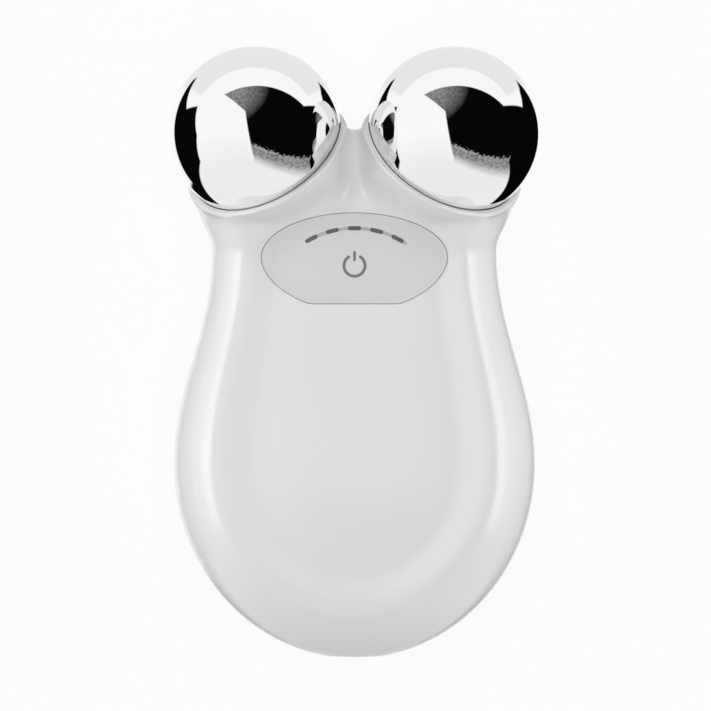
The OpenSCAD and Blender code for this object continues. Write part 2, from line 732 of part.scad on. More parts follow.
module light_shroud() color("black") difference() {
    intersection() {
        at(0, arc_y, board_z) tube(arc_r + shroud_t, arc_r - shroud_t, board_drop - panel_travel - gap);
        at(0, arc_y, 0) linear_extrude(60) polygon([[0, 0], [-arc_r, 1.3 * arc_r], [arc_r, 1.3 * arc_r]]);
        box(board_w, 0, board_high, 0, 60);
    }
    for (t = led_turns) at(0, arc_y, 0) rotate([0, 0, t]) at(0, arc_r, 0)
        cylinder(r = shroud_hole_r, h = 60, $fn = 32);
}

chip_w = 6;
chip_h = 1;
coil_h = 4.2;
can_r = 2.1;
can_h = 4.4;
can_y = [-16.5, -22.5];
buzzer_hole_r = 0.8;
chip_part = [1.6, 0.8, 0.5];
chip_part_step = [2.4, 2.6];
module controller_chip() color("black") box(chip_w, -7, -7 + chip_w, board_z, board_z + chip_h, -6);
module boost_coil() color("dimgray") at(7, -8, board_z) cylinder(r = coil_r, h = coil_h, $fn = 48);
module power_capacitors() color("silver")
    for (y = can_y) at(8, y, board_z) cylinder(r = can_r, h = can_h, $fn = 48);
module buzzer() color("black") at(-7.5, -17.5, board_z) tube(buzzer_r, buzzer_hole_r, buzzer_h);

module chip_parts() color("tan") for (i = [0 : 3], j = [0 : 2])
    at(-1.8 + chip_part_step.x * j, -4.5 + chip_part_step.y * i, board_z) cube(chip_part);

// ---- battery ----

battery_top = battery_z + pad_t + battery_t;

module battery_pad() color("black")
    box(rib_w, battery_y + pad_inset, battery_y + battery_l - pad_inset, battery_z, battery_z + pad_t);

module battery_cell() color("silver") {
    r = battery_t / 2;
    at(0, battery_y, battery_top - r) rotate([-90, 0, 0]) hull() for (side = SIDES)
        at(side * (battery_w / 2 - r), 0, 0) cylinder(r = r, h = battery_l, $fn = 32);
}

plug_w = 5.6;
plug_low = 13;        // underside of the plug's space
plug_back = 1.2;      // inner end of the plug's space
housing_t = 0.6;
module battery_socket() color("white") difference() {
    box(plug_w + 2 * housing_t + 2 * fit, 0, 5, plug_low - housing_t, board_under_z);
    box(plug_w + 2 * fit, plug_back, plug_y, plug_low, board_under_z - housing_t);
}
module battery_plug() color("ivory")
    box(plug_w, plug_back + fit, plug_y, plug_low + fit, board_under_z - housing_t - fit);

// ---- charging socket ----

core_back_t = 1.5;    // moulded block that closes the sleeve's inner end
tongue_w = 6.7;
tongue_t = 0.7;
tongue_inset = 0.9;   // from the socket's mouth to the tongue

module charge_socket() color("silver") difference() {
    socket_block(0, socket_mouth_y, socket_mouth_y + socket_l);
    socket_block(-sleeve_t, socket_mouth_y - 1, socket_mouth_y + socket_l + 1);
}

module charge_socket_core() color("black") {
    end = socket_mouth_y + socket_l;
    socket_block(-sleeve_t, end - core_back_t, end);
    box(tongue_w, socket_mouth_y + tongue_inset, end - core_back_t / 2, socket_z - tongue_t / 2,
        socket_z + tongue_t / 2);
}

module charge_board() color("darkgreen") difference() {
    box(charge_w, charge_low_y, charge_high_y, charge_top_z - board_t, charge_top_z);
    for (p = charge_places) hole(p, board_screw_r + gap, 0, 40);
}

// ---- fasteners ----

module screw(r, l, head_r, head_h) {
    cylinder(r = r, h = l, $fn = 48);
    at(0, 0, -head_h) cylinder(r = head_r, h = head_h, $fn = 48);
}

module shell_screws() color("silver") for (p = screw_places)
    at(p.x, p.y, seat_z(p)) screw(screw_r, screw_l, screw_head_r, screw_head_h);

module board_screws() color("silver") {
    for (p = board_places) at(p.x, p.y, board_under_z)
        screw(board_screw_r, board_screw_l, board_head_r, board_head_h);
    for (p = charge_places) at(p.x, p.y, charge_top_z) mirror([0, 0, 1])
        screw(board_screw_r, board_screw_l, board_head_r, board_head_h);
}

front_shell();
back_shell();
ball(LEFT);  // ball_left
ball(RIGHT);  // ball_right
ball_stud(LEFT);  // ball_stud_left
ball_stud(RIGHT);  // ball_stud_right
ball_seal(LEFT);  // ball_seal_left
ball_seal(RIGHT);  // ball_seal_right
head_frame();
ball_nuts();
contact_ring(LEFT);  // contact_ring_left
contact_ring(RIGHT);  // contact_ring_right
ball_lead(LEFT);  // ball_lead_left
ball_lead(RIGHT);  // ball_lead_right
control_panel();
power_mark();
level_strip();
level_windows();
switch_plunger();
switch_body();
circuit_board();
level_leds();
light_shroud();
controller_chip();
boost_coil();
power_capacitors();
chip_parts();
buzzer();
battery_cell();
battery_pad();
battery_socket();
battery_plug();
battery_lead(RIGHT);  // battery_lead_red
battery_lead(LEFT);  // battery_lead_black
charge_board();
charge_socket();
charge_socket_core();
charge_lead(RIGHT);  // charge_lead_red
charge_lead(LEFT);  // charge_lead_black
shell_screws();
board_screws();
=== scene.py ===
"""Looks of a hand-held facial toning device: glossy white shells, mirror balls, matte press panel.

All the shapes below are worked out in millimetres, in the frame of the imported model:
+Z out of the panel, +Y towards the balls, +X across. They go into the meshes in metres.
"""
import json
import math

import bpy
import numpy as np
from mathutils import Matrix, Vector


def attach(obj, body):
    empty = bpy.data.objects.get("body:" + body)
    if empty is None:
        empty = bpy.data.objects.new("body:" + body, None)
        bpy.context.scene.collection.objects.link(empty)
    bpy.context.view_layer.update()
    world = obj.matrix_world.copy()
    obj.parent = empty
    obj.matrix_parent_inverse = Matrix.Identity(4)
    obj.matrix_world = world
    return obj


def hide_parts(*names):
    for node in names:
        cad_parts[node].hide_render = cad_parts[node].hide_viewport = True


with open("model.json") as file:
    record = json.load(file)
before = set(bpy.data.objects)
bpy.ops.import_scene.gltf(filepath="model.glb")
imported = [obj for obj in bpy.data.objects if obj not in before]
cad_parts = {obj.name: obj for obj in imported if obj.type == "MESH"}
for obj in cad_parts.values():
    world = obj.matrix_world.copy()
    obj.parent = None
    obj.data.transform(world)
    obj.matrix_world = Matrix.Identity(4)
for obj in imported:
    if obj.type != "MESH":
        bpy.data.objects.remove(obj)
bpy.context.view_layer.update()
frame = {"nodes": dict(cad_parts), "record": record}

MM = 0.001
CASING = "casing"
PANEL = "panel"

# -------------------------------------------- sizes, as in the part's source

BODY_W, WAIST_W = 62.2, 48.9
WIDEST_Y, WAIST_Y, TAIL_LEN = -18.9, 17.6, 33.6
CROWN_H, WAIST_H = 28.0, 26.0
BACK_DIP, BACK_RISE = 0.8, 4.5
PARTING_H, PARTING_SLOPE = 13.9, 0.0357
FRONT_POWER, BACK_POWER = 2.9, 2.5
DISH_D, DISH_START, DISH_END = 2.4, 0.2, 0.46
DISH_FADE, DISH_FLOOR = 1.6, 0.3    # it fades out towards the parting line
BALL_R = 14.7
BALL = np.array([17.0, 37.8, 22.3])
BALL_LEAN, BALL_SPLAY = math.radians(37), math.radians(33.4)
RIM_DROP, CUP_R, CUP_GAP, CUP_HEEL = 4.34, 15.3, 0.2, 0.757
PANEL_W, PANEL_Y, PANEL_RISE, PANEL_DROP = 31.8, 16.4, 7.6, 7.9
PANEL_POWER, PANEL_SWELL, PANEL_PROUD = 1.85, 1.18, 0.2
ARC_R, ARC_Y, WINDOW_STEP, WINDOW_LEN, WINDOW_W = 15.9, 5.5, 13.8, 2.3, 0.72
STRIP_ENDS = (-32.0, 34.0)
MARK_R, MARK_Y, MARK_W = 2.05, 15.0, 0.5
MARK_BAR_START, MARK_BAR_LEN = 0.36, 0.86   # in shares of the mark's radius
WAIST_BLEND, RIM_BLEND, BLEND_RUN = 4.5, 2.2, 6.0
HEAD_Y, HEAD_LEN, HEEL_RUN = 24.0, 10.0, 8.0
TRIM_MARGIN, TRIM_DRAFT, TRIM_BLEND, GUARD_BLEND = 1.2, 0.6, 3.0, 0.5
GUARD_R = math.hypot(CUP_R, RIM_DROP)
NOTCH_Y, NOTCH_R, NOTCH_SLOPE = 38.4, 2.4, 2.2
NOTCH_DROP, NOTCH_WALL, NOTCH_BLEND = 3.0, 1.0, 1.2
SPINE, REACH = (-19.0, 24.0), 75
SCREW_HOLE_R = 2.3
SCREWS = [(-21.5, -26.0, 9.97), (21.5, -26.0, 9.97), (-19.0, 2.0, 10.97), (19.0, 2.0, 10.97),
          (0.0, 28.0, 10.0)]    # X and Y of each screw, and the height of its head's seat
SOCKET_W, SOCKET_H, SOCKET_GAP = 8.94, 3.26, 0.2
SOCKET_Z = PARTING_H + PARTING_SLOPE * (WIDEST_Y - TAIL_LEN)

# drawn otherwise than in the part's source
POCKET_R = BALL_R + 0.06   # the seam round a ball is finer than the gap there
PANEL_GAP = 0.06           # and so is the seam round the panel
STRIP_W = 0.6              # the light strip is 0.04 wider
MARK_GAP = 0.78            # half the gap in the mark's ring is 0.03 wider
MARK_BAR_W = 0.92          # share of the mark's width that its bar has
SHANK_HOLE_R = 1.15        # the hole under a screw's head is closer round its shank
FOOT_R = 3.35              # the opening in a ball's foot is 0.1 wider
FOOT_ROUND, FOOT_DEPTH = 0.1, 0.8

# how deep the walls inside the seams are drawn
POCKET_WALL, SOCKET_WALL, OPENING_WALL, PANEL_WALL = 3.2, 3.4, 2.3, 2.4

# small edges that the mould leaves
LIP_ROUND = 0.55      # outer edge of a cup's lip
POCKET_ROUND = 0.16   # inner edge of a cup's lip
RIDGE_BLEND = 0.9     # where the lips of the two cups meet
SEAM_ROUND = 0.12     # each shell's edge along the parting line
OPENING_ROUND = 0.12  # edge of the panel's opening
HOLE_ROUND = 0.15     # edges of the screw holes and the socket's hole
PANEL_ROUND = 0.24    # edge of the panel
PANEL_SOFT = 1.1      # stretch over which the corners of its outline are softened
BACK_EDGE = 0.4       # where the flat of the back begins

# steps of the work
NORMAL_STEP = 0.02    # to either side, for the slope of the field
HALVINGS = 26         # of a ray, to find the skin
EDGE_HALVINGS = 18    # of a face's side, to find where a grid is cut
EDGE_STEPS = 6        # across a rounded edge
MERGE_STEP = 2e-4     # corners in the same cell of this size become one
FAR = 9.0             # distance given to places that an edge doesn't reach
TAIL_Y = -40.0        # below it lies the tail's end, with the socket
LIP_SHORT, SOCKET_SHORT = 0.05, 0.02   # where their edges end before the parting plane
SKIN_SLACK = 0.004    # how far outside the skin still counts as on it
INLAY_STEP, INLAY_RISE, INLAY_SKIRT = 0.15, 0.004, -0.12   # along, over and into the panel


# -------------------------------------------- the skin as a field, negative inside

def ease(t):
    """Cubic step from 0 to 1."""
    t = np.clip(t, 0, 1)
    return t * t * (3 - 2 * t)


def blend_min(a, b, k):
    """Lower of two fields, with a round of size k where they meet."""
    h = np.clip(1 - np.abs(a - b) / k, 0, 1)
    return np.minimum(a, b) - h * h * k / 4


def blend_max(a, b, k):
    """Higher of two fields, with a round of size k where they meet."""
    return -blend_min(-a, -b, k)


def parting_z(y):
    """Height of the plane where the two shells meet."""
    return PARTING_H + PARTING_SLOPE * y


def cup_axis(side):
    """Direction that a ball faces, out of its cup."""
    return np.array([side * math.sin(BALL_SPLAY) * math.cos(BALL_LEAN),
                     math.cos(BALL_SPLAY) * math.cos(BALL_LEAN), math.sin(BALL_LEAN)])


def ball_centre(side):
    """Middle of the left (side -1) or right (side 1) ball."""
    return BALL * [side, 1, 1]


def rim_centre(side):
    """Middle of the circle in which a ball leaves its cup."""
    return ball_centre(side) - RIM_DROP * cup_axis(side)


def body_field(p):
    """Superellipse sections lofted along Y, with a round tail and a palm dish in the front.

    Rho is the n-th root of the n-th powers of x over the half width and of the height over its
    full height, with one n in front and one behind. On the skin, its square and the squared share
    of an end's length are 1 together. The half width goes from the widest place to the waist along
    a cosine. The dish lifts the point that is tested, by a depth eased in from the edge.
    """
    x, y, z = p[..., 0], p[..., 1], p[..., 2]
    taper = 0.5 - 0.5 * np.cos(np.pi * np.clip((y - WIDEST_Y) / (WAIST_Y - WIDEST_Y), 0, 1))
    w = (BODY_W + (WAIST_W - BODY_W) * taper) / 2
    tail = np.maximum(WIDEST_Y - y, 0) / TAIL_LEN
    head = np.maximum(y - HEAD_Y, 0) / HEAD_LEN
    middle = parting_z(y)
    front = CROWN_H + (WAIST_H - CROWN_H) * taper - middle
    back = middle + BACK_DIP - (BACK_RISE + BACK_DIP) * taper
    inset = np.where(y > WIDEST_Y, 1 - np.abs(x) / w, 1 - np.hypot(2 * x / BODY_W, tail))
    up = z - middle
    sunk = ease((inset - DISH_START) / (DISH_END - DISH_START))
    up = up + DISH_D * sunk * ease(DISH_FADE * up / front - DISH_FLOOR)
    h = np.where(up > 0, front, back)
    power = np.where(up > 0, FRONT_POWER, BACK_POWER)
    rho = ((np.abs(x) / w) ** power + (np.abs(up) / h) ** power) ** (1 / power)
    return (np.sqrt(rho ** 2 + tail ** 2 + head ** 2) - 1) * np.minimum(h, w)


def cup_field(p, side):
    """Round cup about a ball's axis, and the height above its rim.

    Above the rim the cup is a cylinder and under it a half sphere, swollen to a heel behind. An
    elliptic cone round the panel trims it, and a sphere about the ball's middle guards the pocket.
    """
    q = p - rim_centre(side)
    axis = cup_axis(side)
    above = q @ axis
    heel = np.where(q[..., 2] < 0, 1 - (1 - CUP_HEEL) * ease(-above / HEEL_RUN), 1)
    q = q * np.stack([np.ones_like(heel), np.ones_like(heel), heel], -1)
    along = q @ axis
    cup = np.sqrt(np.maximum((q * q).sum(-1) - along ** 2, 0) + np.minimum(along, 0) ** 2) - CUP_R
    a, b = PANEL_W / 2 + TRIM_MARGIN, PANEL_RISE + TRIM_MARGIN
    trim = (np.hypot(p[..., 0] / a, (p[..., 1] - PANEL_Y) / b) - 1) * b
    cup = -blend_min(-cup, trim - (p[..., 2] - WAIST_H + DISH_D) * TRIM_DRAFT, TRIM_BLEND)
    guard = np.linalg.norm(p - ball_centre(side), axis=-1) - GUARD_R
    return blend_min(cup, guard, GUARD_BLEND), above


def notch_field(p, above):
    """Positive in the rounded notch between the balls, and over the lowered rims beside it."""
    bend = NOTCH_SLOPE ** 2 * NOTCH_R
    past = p[..., 1] - NOTCH_Y - np.hypot(NOTCH_SLOPE * p[..., 0], bend) + bend
    off_ball = np.linalg.norm(p - BALL, axis=-1) - BALL_R - CUP_GAP - NOTCH_WALL
    return np.minimum(past, np.maximum(above + NOTCH_DROP, off_ball))


def skin_field(p):
    """Body and cups blended together, notched between the balls and flat at the back."""
    p = np.concatenate([np.abs(p[..., :1]), p[..., 1:]], -1)
    f = body_field(p)
    for side in (1, -1):
        cup, above = cup_field(p, side)
        f = blend_min(f, cup, RIM_BLEND + (WAIST_BLEND - RIM_BLEND) * ease(-above / BLEND_RUN))
        if side > 0:
            near = above
    return blend_max(blend_max(f, notch_field(p, near), NOTCH_BLEND), -p[..., 2], BACK_EDGE)


def skin_normal(p):
    """Direction in which the field grows fastest, by central differences."""
    steps = np.eye(3) * NORMAL_STEP
    g = np.stack([skin_field(p + d) - skin_field(p - d) for d in steps], -1)
    return g / np.linalg.norm(g, axis=-1, keepdims=True)


def cast(start, way, low, high):
    """Where rays leave the skin, by halving the stretch that holds the edge."""
    low = np.full(start.shape[:-1], float(low))
    high = np.full(start.shape[:-1], float(high))
    for _ in range(HALVINGS):
        mid = (low + high) / 2
        out = skin_field(start + way * mid[..., None]) > 0
        high = np.where(out, mid, high)
        low = np.where(out, low, mid)
    return start + way * ((low + high) / 2)[..., None]


def skin_over(x, y, face=1):
    """The skin's points straight over (face 1) or under (face -1) places on the parting plane."""
    start = np.stack([x, y, parting_z(y)], -1)
    return cast(start, np.array([0.0, 0.0, face]), 0, 25)


def rim_height(p):
    """Height above the plane of the nearer cup's rim, with a round where the two planes meet."""
    left, right = ((p - rim_centre(s)) @ cup_axis(s) for s in (-1, 1))
    return blend_max(left, right, RIDGE_BLEND)


# -------------------------------------------- grids, and what is cut out of them

def cut_grid(points, normals, keep, closed=False):
    """Faces of a grid where keep is positive; corners just outside slide onto its zero line."""
    rows, cols = points.shape[:2]
    value = keep(points)
    inside = value > 0
    best = np.full(value.shape, -np.inf)
    to_row, to_col = np.zeros(value.shape, int), np.zeros(value.shape, int)
    r, c = np.meshgrid(np.arange(rows), np.arange(cols), indexing="ij")
    for dr in (-1, 0, 1):
        for dc in (-1, 0, 1):
            rr = np.clip(r + dr, 0, rows - 1)
            cc = (c + dc) % cols if closed else np.clip(c + dc, 0, cols - 1)
            better = inside[rr, cc] & (value[rr, cc] > best)
            best[better] = value[rr, cc][better]
            to_row[better], to_col[better] = rr[better], cc[better]
    edge = ~inside & (best > 0)
    a, b = points[edge], points[to_row[edge], to_col[edge]]
    low, high = np.zeros(len(a)), np.ones(len(a))
    for _ in range(EDGE_HALVINGS):
        mid = (low + high) / 2
        out = keep(a + (b - a) * mid[:, None]) <= 0
        low, high = np.where(out, mid, low), np.where(out, high, mid)
    points, normals = points.copy(), normals.copy()
    points[edge] = a + (b - a) * high[:, None]
    there = normals[to_row[edge], to_col[edge]]
    mixed = normals[edge] * (1 - high[:, None]) + there * high[:, None]
    normals[edge] = mixed / np.linalg.norm(mixed, axis=-1, keepdims=True)
    used = inside | edge
    i, j = np.meshgrid(np.arange(rows - 1), np.arange(cols if closed else cols - 1), indexing="ij")
    k = (j + 1) % cols
    whole = used[i, j] & used[i + 1, j] & used[i + 1, k] & used[i, k]
    whole &= inside[i, j] | inside[i + 1, j] | inside[i + 1, k] | inside[i, k]
    i, j, k = i[whole], j[whole], k[whole]
    faces = np.stack([i * cols + j, (i + 1) * cols + j, (i + 1) * cols + k, i * cols + k], -1)
    return points.reshape(-1, 3), normals.reshape(-1, 3), faces


def whole_grid(points, normals, closed=False):
    """All the faces of a grid."""
    return cut_grid(points, normals, lambda p: np.ones(p.shape[:-1]), closed)


def facing(patch):
    """The patch with its corners ordered so that its faces look along its normals."""
    points, normals, faces = patch
    a, b, c = (points[faces[:, k]] for k in (0, 1, 2))
    d = points[faces[:, 3]]
    looks = np.cross(c - a, d - b)
    flip = (looks * normals[faces].mean(1)).sum(-1) < 0
    faces = faces.copy()
    faces[flip] = faces[flip][:, ::-1]
    return points, normals, faces


def piece(name, patches, body, material, stands_for):
    """Joins patches to one mesh: doubles merged, pinched corners dropped, own normals kept."""
    points, normals, faces, base = [], [], [], 0
    for p, n, f in map(facing, patches):
        points.append(p), normals.append(n), faces.append(f + base)
        base += len(p)
    points, normals, faces = np.concatenate(points), np.concatenate(normals), np.concatenate(faces)
    key = np.round(points / MERGE_STEP).astype(np.int64)
    _, first, where = np.unique(key, axis=0, return_index=True, return_inverse=True)
    where = where.reshape(-1)
    faces = where[faces]
    total = np.zeros((len(first), 3))
    np.add.at(total, where, normals)
    total /= np.maximum(np.linalg.norm(total, axis=-1, keepdims=True), 1e-12)
    points = points[first]
    clean = ~(faces == np.roll(faces, -1, 1)).any(1)
    lists = faces[clean].tolist()
    for f in faces[~clean].tolist():   # where corners have merged, a triangle is left
        g = [v for k, v in enumerate(f) if v != f[k - 1]]
        if len(set(g)) == len(g) and len(g) >= 3:
            lists.append(g)
    used = np.unique(np.concatenate([np.array(f) for f in lists]))
    renumber = np.full(len(points), -1)
    renumber[used] = np.arange(len(used))
    mesh = bpy.data.meshes.new(name)
    loops = [[int(renumber[v]) for v in f] for f in lists]
    mesh.from_pydata((points[used] * MM).tolist(), [], loops)
    mesh.validate()
    mesh.polygons.foreach_set("use_smooth", np.ones(len(mesh.polygons), bool))
    mesh.normals_split_custom_set_from_vertices(total[used].tolist())
    mesh.materials.append(material)
    mesh.update()
    obj = bpy.data.objects.new(name, mesh)
    bpy.context.scene.collection.objects.link(obj)
    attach(obj, body)
    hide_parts(*stands_for)


def edge_strip(start, normal, inward, down, size, depth):
    """Edge of an opening: a quarter round from the skin's own slope to the wall, then the wall."""
    along = inward - (inward * normal).sum(-1, keepdims=True) * normal
    along /= np.linalg.norm(along, axis=-1, keepdims=True)
    corner = start + along * size / (along * inward).sum(-1, keepdims=True)
    t = np.linspace(0, 1, EDGE_STEPS + 1)[:, None, None]
    curve = (1 - t) ** 2 * start + 2 * t * (1 - t) * corner + t ** 2 * (corner + down * size)
    turn = normal * np.cos(t * np.pi / 2) + inward * np.sin(t * np.pi / 2)
    turn /= np.linalg.norm(turn, axis=-1, keepdims=True)
    wall = corner + down * depth
    points = np.concatenate([curve, wall[None]])
    normals = np.concatenate([turn, turn[-1:]])
    return points, normals


# -------------------------------------------- outlines

def rounded(outline, reach):
    """A closed outline in even steps, its corners softened by averaging over a stretch.

    The weights of the average rise and fall along one wave of a cosine.
    """
    ring = np.vstack([outline, outline[:1]])
    length = np.concatenate([[0], np.cumsum(np.hypot(*np.diff(ring, axis=0).T))])
    count = 640
    even = np.linspace(0, length[-1], count, endpoint=False)
    ring = np.stack([np.interp(even, length, ring[:, k]) for k in (0, 1)], -1)
    half = max(int(reach / length[-1] * count), 1)
    weight = np.hanning(2 * half + 3)[1:-1]
    weight /= weight.sum()
    return sum(w * np.roll(ring, k - half, 0) for k, w in enumerate(weight))


def panel_outline():
    """Half ellipse above, a fuller curve below, and a flat lower edge with softened corners.

    The fuller curve is a superellipse that would run past the flat edge, and is cut off there.
    """
    t = np.linspace(0, 2 * np.pi, 1440, endpoint=False)
    upper = np.stack([PANEL_W / 2 * np.cos(t), PANEL_Y + PANEL_RISE * np.sin(t)], -1)
    power = 2 / PANEL_POWER
    drop = np.minimum(PANEL_SWELL * PANEL_DROP * np.abs(np.sin(t)) ** power, PANEL_DROP)
    fuller = np.stack([PANEL_W / 2 * np.sign(np.cos(t)) * np.abs(np.cos(t)) ** power,
                       PANEL_Y - drop], -1)
    return rounded(np.where((t <= np.pi)[:, None], upper, fuller), PANEL_SOFT)


def outward(ring):
    """Unit normals of a closed outline, square to the step between each point's neighbours."""
    step = np.roll(ring, -1, 0) - np.roll(ring, 1, 0)
    return np.stack([step[:, 1], -step[:, 0]], -1) / np.hypot(*step.T)[:, None]


OUTLINE = panel_outline()
OUTLINE_OUT = outward(OUTLINE)


def off_panel(p, grow):
    """Distance outside the panel's outline grown by so much, for places near the panel.

    It is measured along the outline's normal at the nearest of its points.
    """
    far = np.full(p.shape[:-1], FAR)
    half_x, half_y, middle_y, low_z = 19, 11, 16, 19   # a box round the panel
    near = np.abs(p[..., 0]) < half_x
    near = near & (np.abs(p[..., 1] - middle_y) < half_y) & (p[..., 2] > low_z)
    q = p[near][:, :2]
    if len(q):
        ring = OUTLINE + OUTLINE_OUT * grow
        parts = np.array_split(q, max(len(q) // 2000, 1))   # so that the tables stay small
        nearest = np.concatenate([np.argmin(((part[:, None] - ring) ** 2).sum(-1), 1)
                                  for part in parts])
        far[near] = ((q - ring[nearest]) * OUTLINE_OUT[nearest]).sum(-1)
    return far


def off_rims(p):
    """Distance under the lips' outer edges, and outside the pockets where the notch cuts them."""
    mirrored = np.stack([np.abs(p[..., 0]), p[..., 1], p[..., 2]], -1)
    off_ball = np.linalg.norm(mirrored - BALL, axis=-1)
    return np.minimum(-rim_height(p) - LIP_ROUND, off_ball - POCKET_R)


def socket_hole(grow):
    """Half height of the charging socket's hole, and half the run of its straight sides."""
    return SOCKET_H / 2 + SOCKET_GAP + grow, SOCKET_W / 2 - SOCKET_H / 2


def off_socket(p, grow):
    """Distance outside the charging socket's hole, for places on the tail."""
    half, straight = socket_hole(grow)
    d = np.hypot(np.maximum(np.abs(p[..., 0]) - straight, 0), p[..., 2] - SOCKET_Z) - half
    return np.where(p[..., 1] < TAIL_Y, d, FAR)


def off_screws(p, grow):
    """Distance outside the screw holes, for places on the back."""
    d = np.full(p.shape[:-1], FAR)
    for x, y, _ in SCREWS:
        d = np.minimum(d, np.hypot(p[..., 0] - x, p[..., 1] - y) - SCREW_HOLE_R - grow)
    return np.where(p[..., 2] < parting_z(p[..., 1]) - 2, d, FAR)


# -------------------------------------------- shells

def shell_skin(face, rows, turns):
    """Rays from a spine, fanned out at both its ends, find the skin of one shell.

    Row by row the rays swing from the tail over the spine to the head, and in each row from the
    right of the parting line over the face to its left. The first and last columns lie along the
    parting line, and a quarter round is added to each.
    """
    tail, middle, head = rows
    tilt = np.concatenate([np.linspace(-np.pi / 2, 0, tail, endpoint=False), np.zeros(middle),
                           np.linspace(0, np.pi / 2, head)])
    y = np.concatenate([np.full(tail, SPINE[0]), np.linspace(*SPINE, middle, endpoint=False),
                        np.full(head, SPINE[1])])
    turn = face * np.linspace(0, np.pi, turns)
    tilt, turn = np.meshgrid(tilt, turn, indexing="ij")
    y = np.broadcast_to(y[:, None], tilt.shape)
    start = np.stack([np.zeros_like(y), y, parting_z(y) + face * SEAM_ROUND], -1)
    way = np.stack([np.cos(tilt) * np.cos(turn), np.sin(tilt),
                    np.cos(tilt) * np.sin(turn) + PARTING_SLOPE * np.sin(tilt)], -1)
    points = cast(start, way, 0, REACH)
    normals = skin_normal(points)
    down = np.array([0, 0, -face])
    t = np.linspace(0, np.pi / 2, 5)[1:, None, None]

    def seam(edge, out):
        """A quarter circle from the skin's direction to straight down into the seam."""
        bow = edge - out * SEAM_ROUND * (1 - np.cos(t)) + down * SEAM_ROUND * np.sin(t)
        return bow.swapaxes(0, 1), (out * np.cos(t) + down * np.sin(t)).swapaxes(0, 1)

    first, first_n = seam(points[:, 0], normals[:, 0])
    last, last_n = seam(points[:, -1], normals[:, -1])
    points = np.concatenate([first[:, ::-1], points, last], 1)
    normals = np.concatenate([first_n[:, ::-1], normals, last_n], 1)
    return points, normals


def round_axis(side, count):
    """A ball's axis, and unit directions square to it, evenly all the way round."""
    axis = cup_axis(side)
    u = np.cross(axis, [0, 0, 1.0])
    u /= np.linalg.norm(u)
    v = np.cross(axis, u)
    turn = np.linspace(0, 2 * np.pi, count, endpoint=False)
    return axis, np.cos(turn)[:, None] * u + np.sin(turn)[:, None] * v


def lip(side):
    """A cup's lip: pocket wall, small round, flat along the rim's plane, and round to the skin.

    Each column runs outwards from the ball's axis to the skin, or to the middle plane where the
    two cups meet. The height falls along a quarter circle over the last stretch before the skin.
    """
    axis, way = round_axis(side, 720)
    centre = rim_centre(side) - axis * LIP_ROUND
    inner_r = math.sqrt(POCKET_R ** 2 - RIM_DROP ** 2)
    reach = cast(centre + way * (inner_r - 1), way, 0, 6)
    outer = np.linalg.norm(reach - centre, axis=-1)
    across = np.where(abs(way[:, 0]) < 1e-6, 1, way[:, 0])
    nowhere = 99    # for a column that doesn't run towards the middle plane
    to_middle = np.where(way[:, 0] * side < -1e-6, -centre[0] / across, nowhere)
    open_edge = outer <= to_middle
    start = inner_r + POCKET_ROUND
    outer = np.maximum(np.minimum(outer, to_middle), start + 0.01)
    share = np.concatenate([np.linspace(0, 0.6, 7)[:-1],
                            1 - 0.4 * np.cos(np.linspace(0, np.pi / 2, 9))])
    radius = start + (outer - start)[None] * share[:, None]
    flat = centre + way * radius[..., None]
    inside = np.maximum(-skin_field(flat), 0)
    inside[-1, open_edge] = 0
    s = np.clip(1 - inside / LIP_ROUND, 0, 1)
    height = LIP_ROUND * np.sqrt(1 - s ** 2)
    gap = 2 * abs(axis[0]) * np.abs(flat[..., 0])
    ridge = np.clip(1 - gap / RIDGE_BLEND, 0, 1) ** 2 * RIDGE_BLEND / 4
    points = flat + axis * (height - ridge)[..., None]
    out = skin_normal(flat)
    normals = axis * np.sqrt(1 - s ** 2)[..., None] + out * s[..., None]
    lean = np.clip(1 - gap / RIDGE_BLEND, 0, 1)[..., None] * np.array([-side * abs(axis[0]), 0, 0])
    normals = normals + lean
    # the pocket's wall, from deep beside the ball up to the small round
    deep = np.linspace(-POCKET_WALL, -POCKET_ROUND, 8)
    r = np.sqrt(POCKET_R ** 2 - (RIM_DROP - deep) ** 2)
    rim = rim_centre(side)
    wall = rim + deep[:, None, None] * axis + r[:, None, None] * way
    wall_n = (ball_centre(side) - wall) / POCKET_R
    t = np.linspace(0, np.pi / 2, 5)[1:-1, None, None]
    bend = (rim + axis * (POCKET_ROUND * (np.sin(t) - 1))
            + way * (inner_r + POCKET_ROUND * (1 - np.cos(t))))
    bend_n = wall_n[-1] * np.cos(t) + axis * np.sin(t)
    points = np.concatenate([wall, bend, points])
    normals = np.concatenate([wall_n, bend_n, normals])
    return points, normals / np.linalg.norm(normals, axis=-1, keepdims=True)


def lips(face):
    """The part of both lips that belongs to one shell, a hair short of the parting plane.

    Where the notch between the balls cuts the lip away, only the pocket's wall is left under it.
    """
    def keep(p):
        """Positive on this shell's side of the parting plane, and not outside the skin."""
        short = face * (p[..., 2] - parting_z(p[..., 1])) - LIP_SHORT
        return np.minimum(short, SKIN_SLACK - skin_field(p))
    return [cut_grid(*lip(side), keep, closed=True) for side in (-1, 1)]


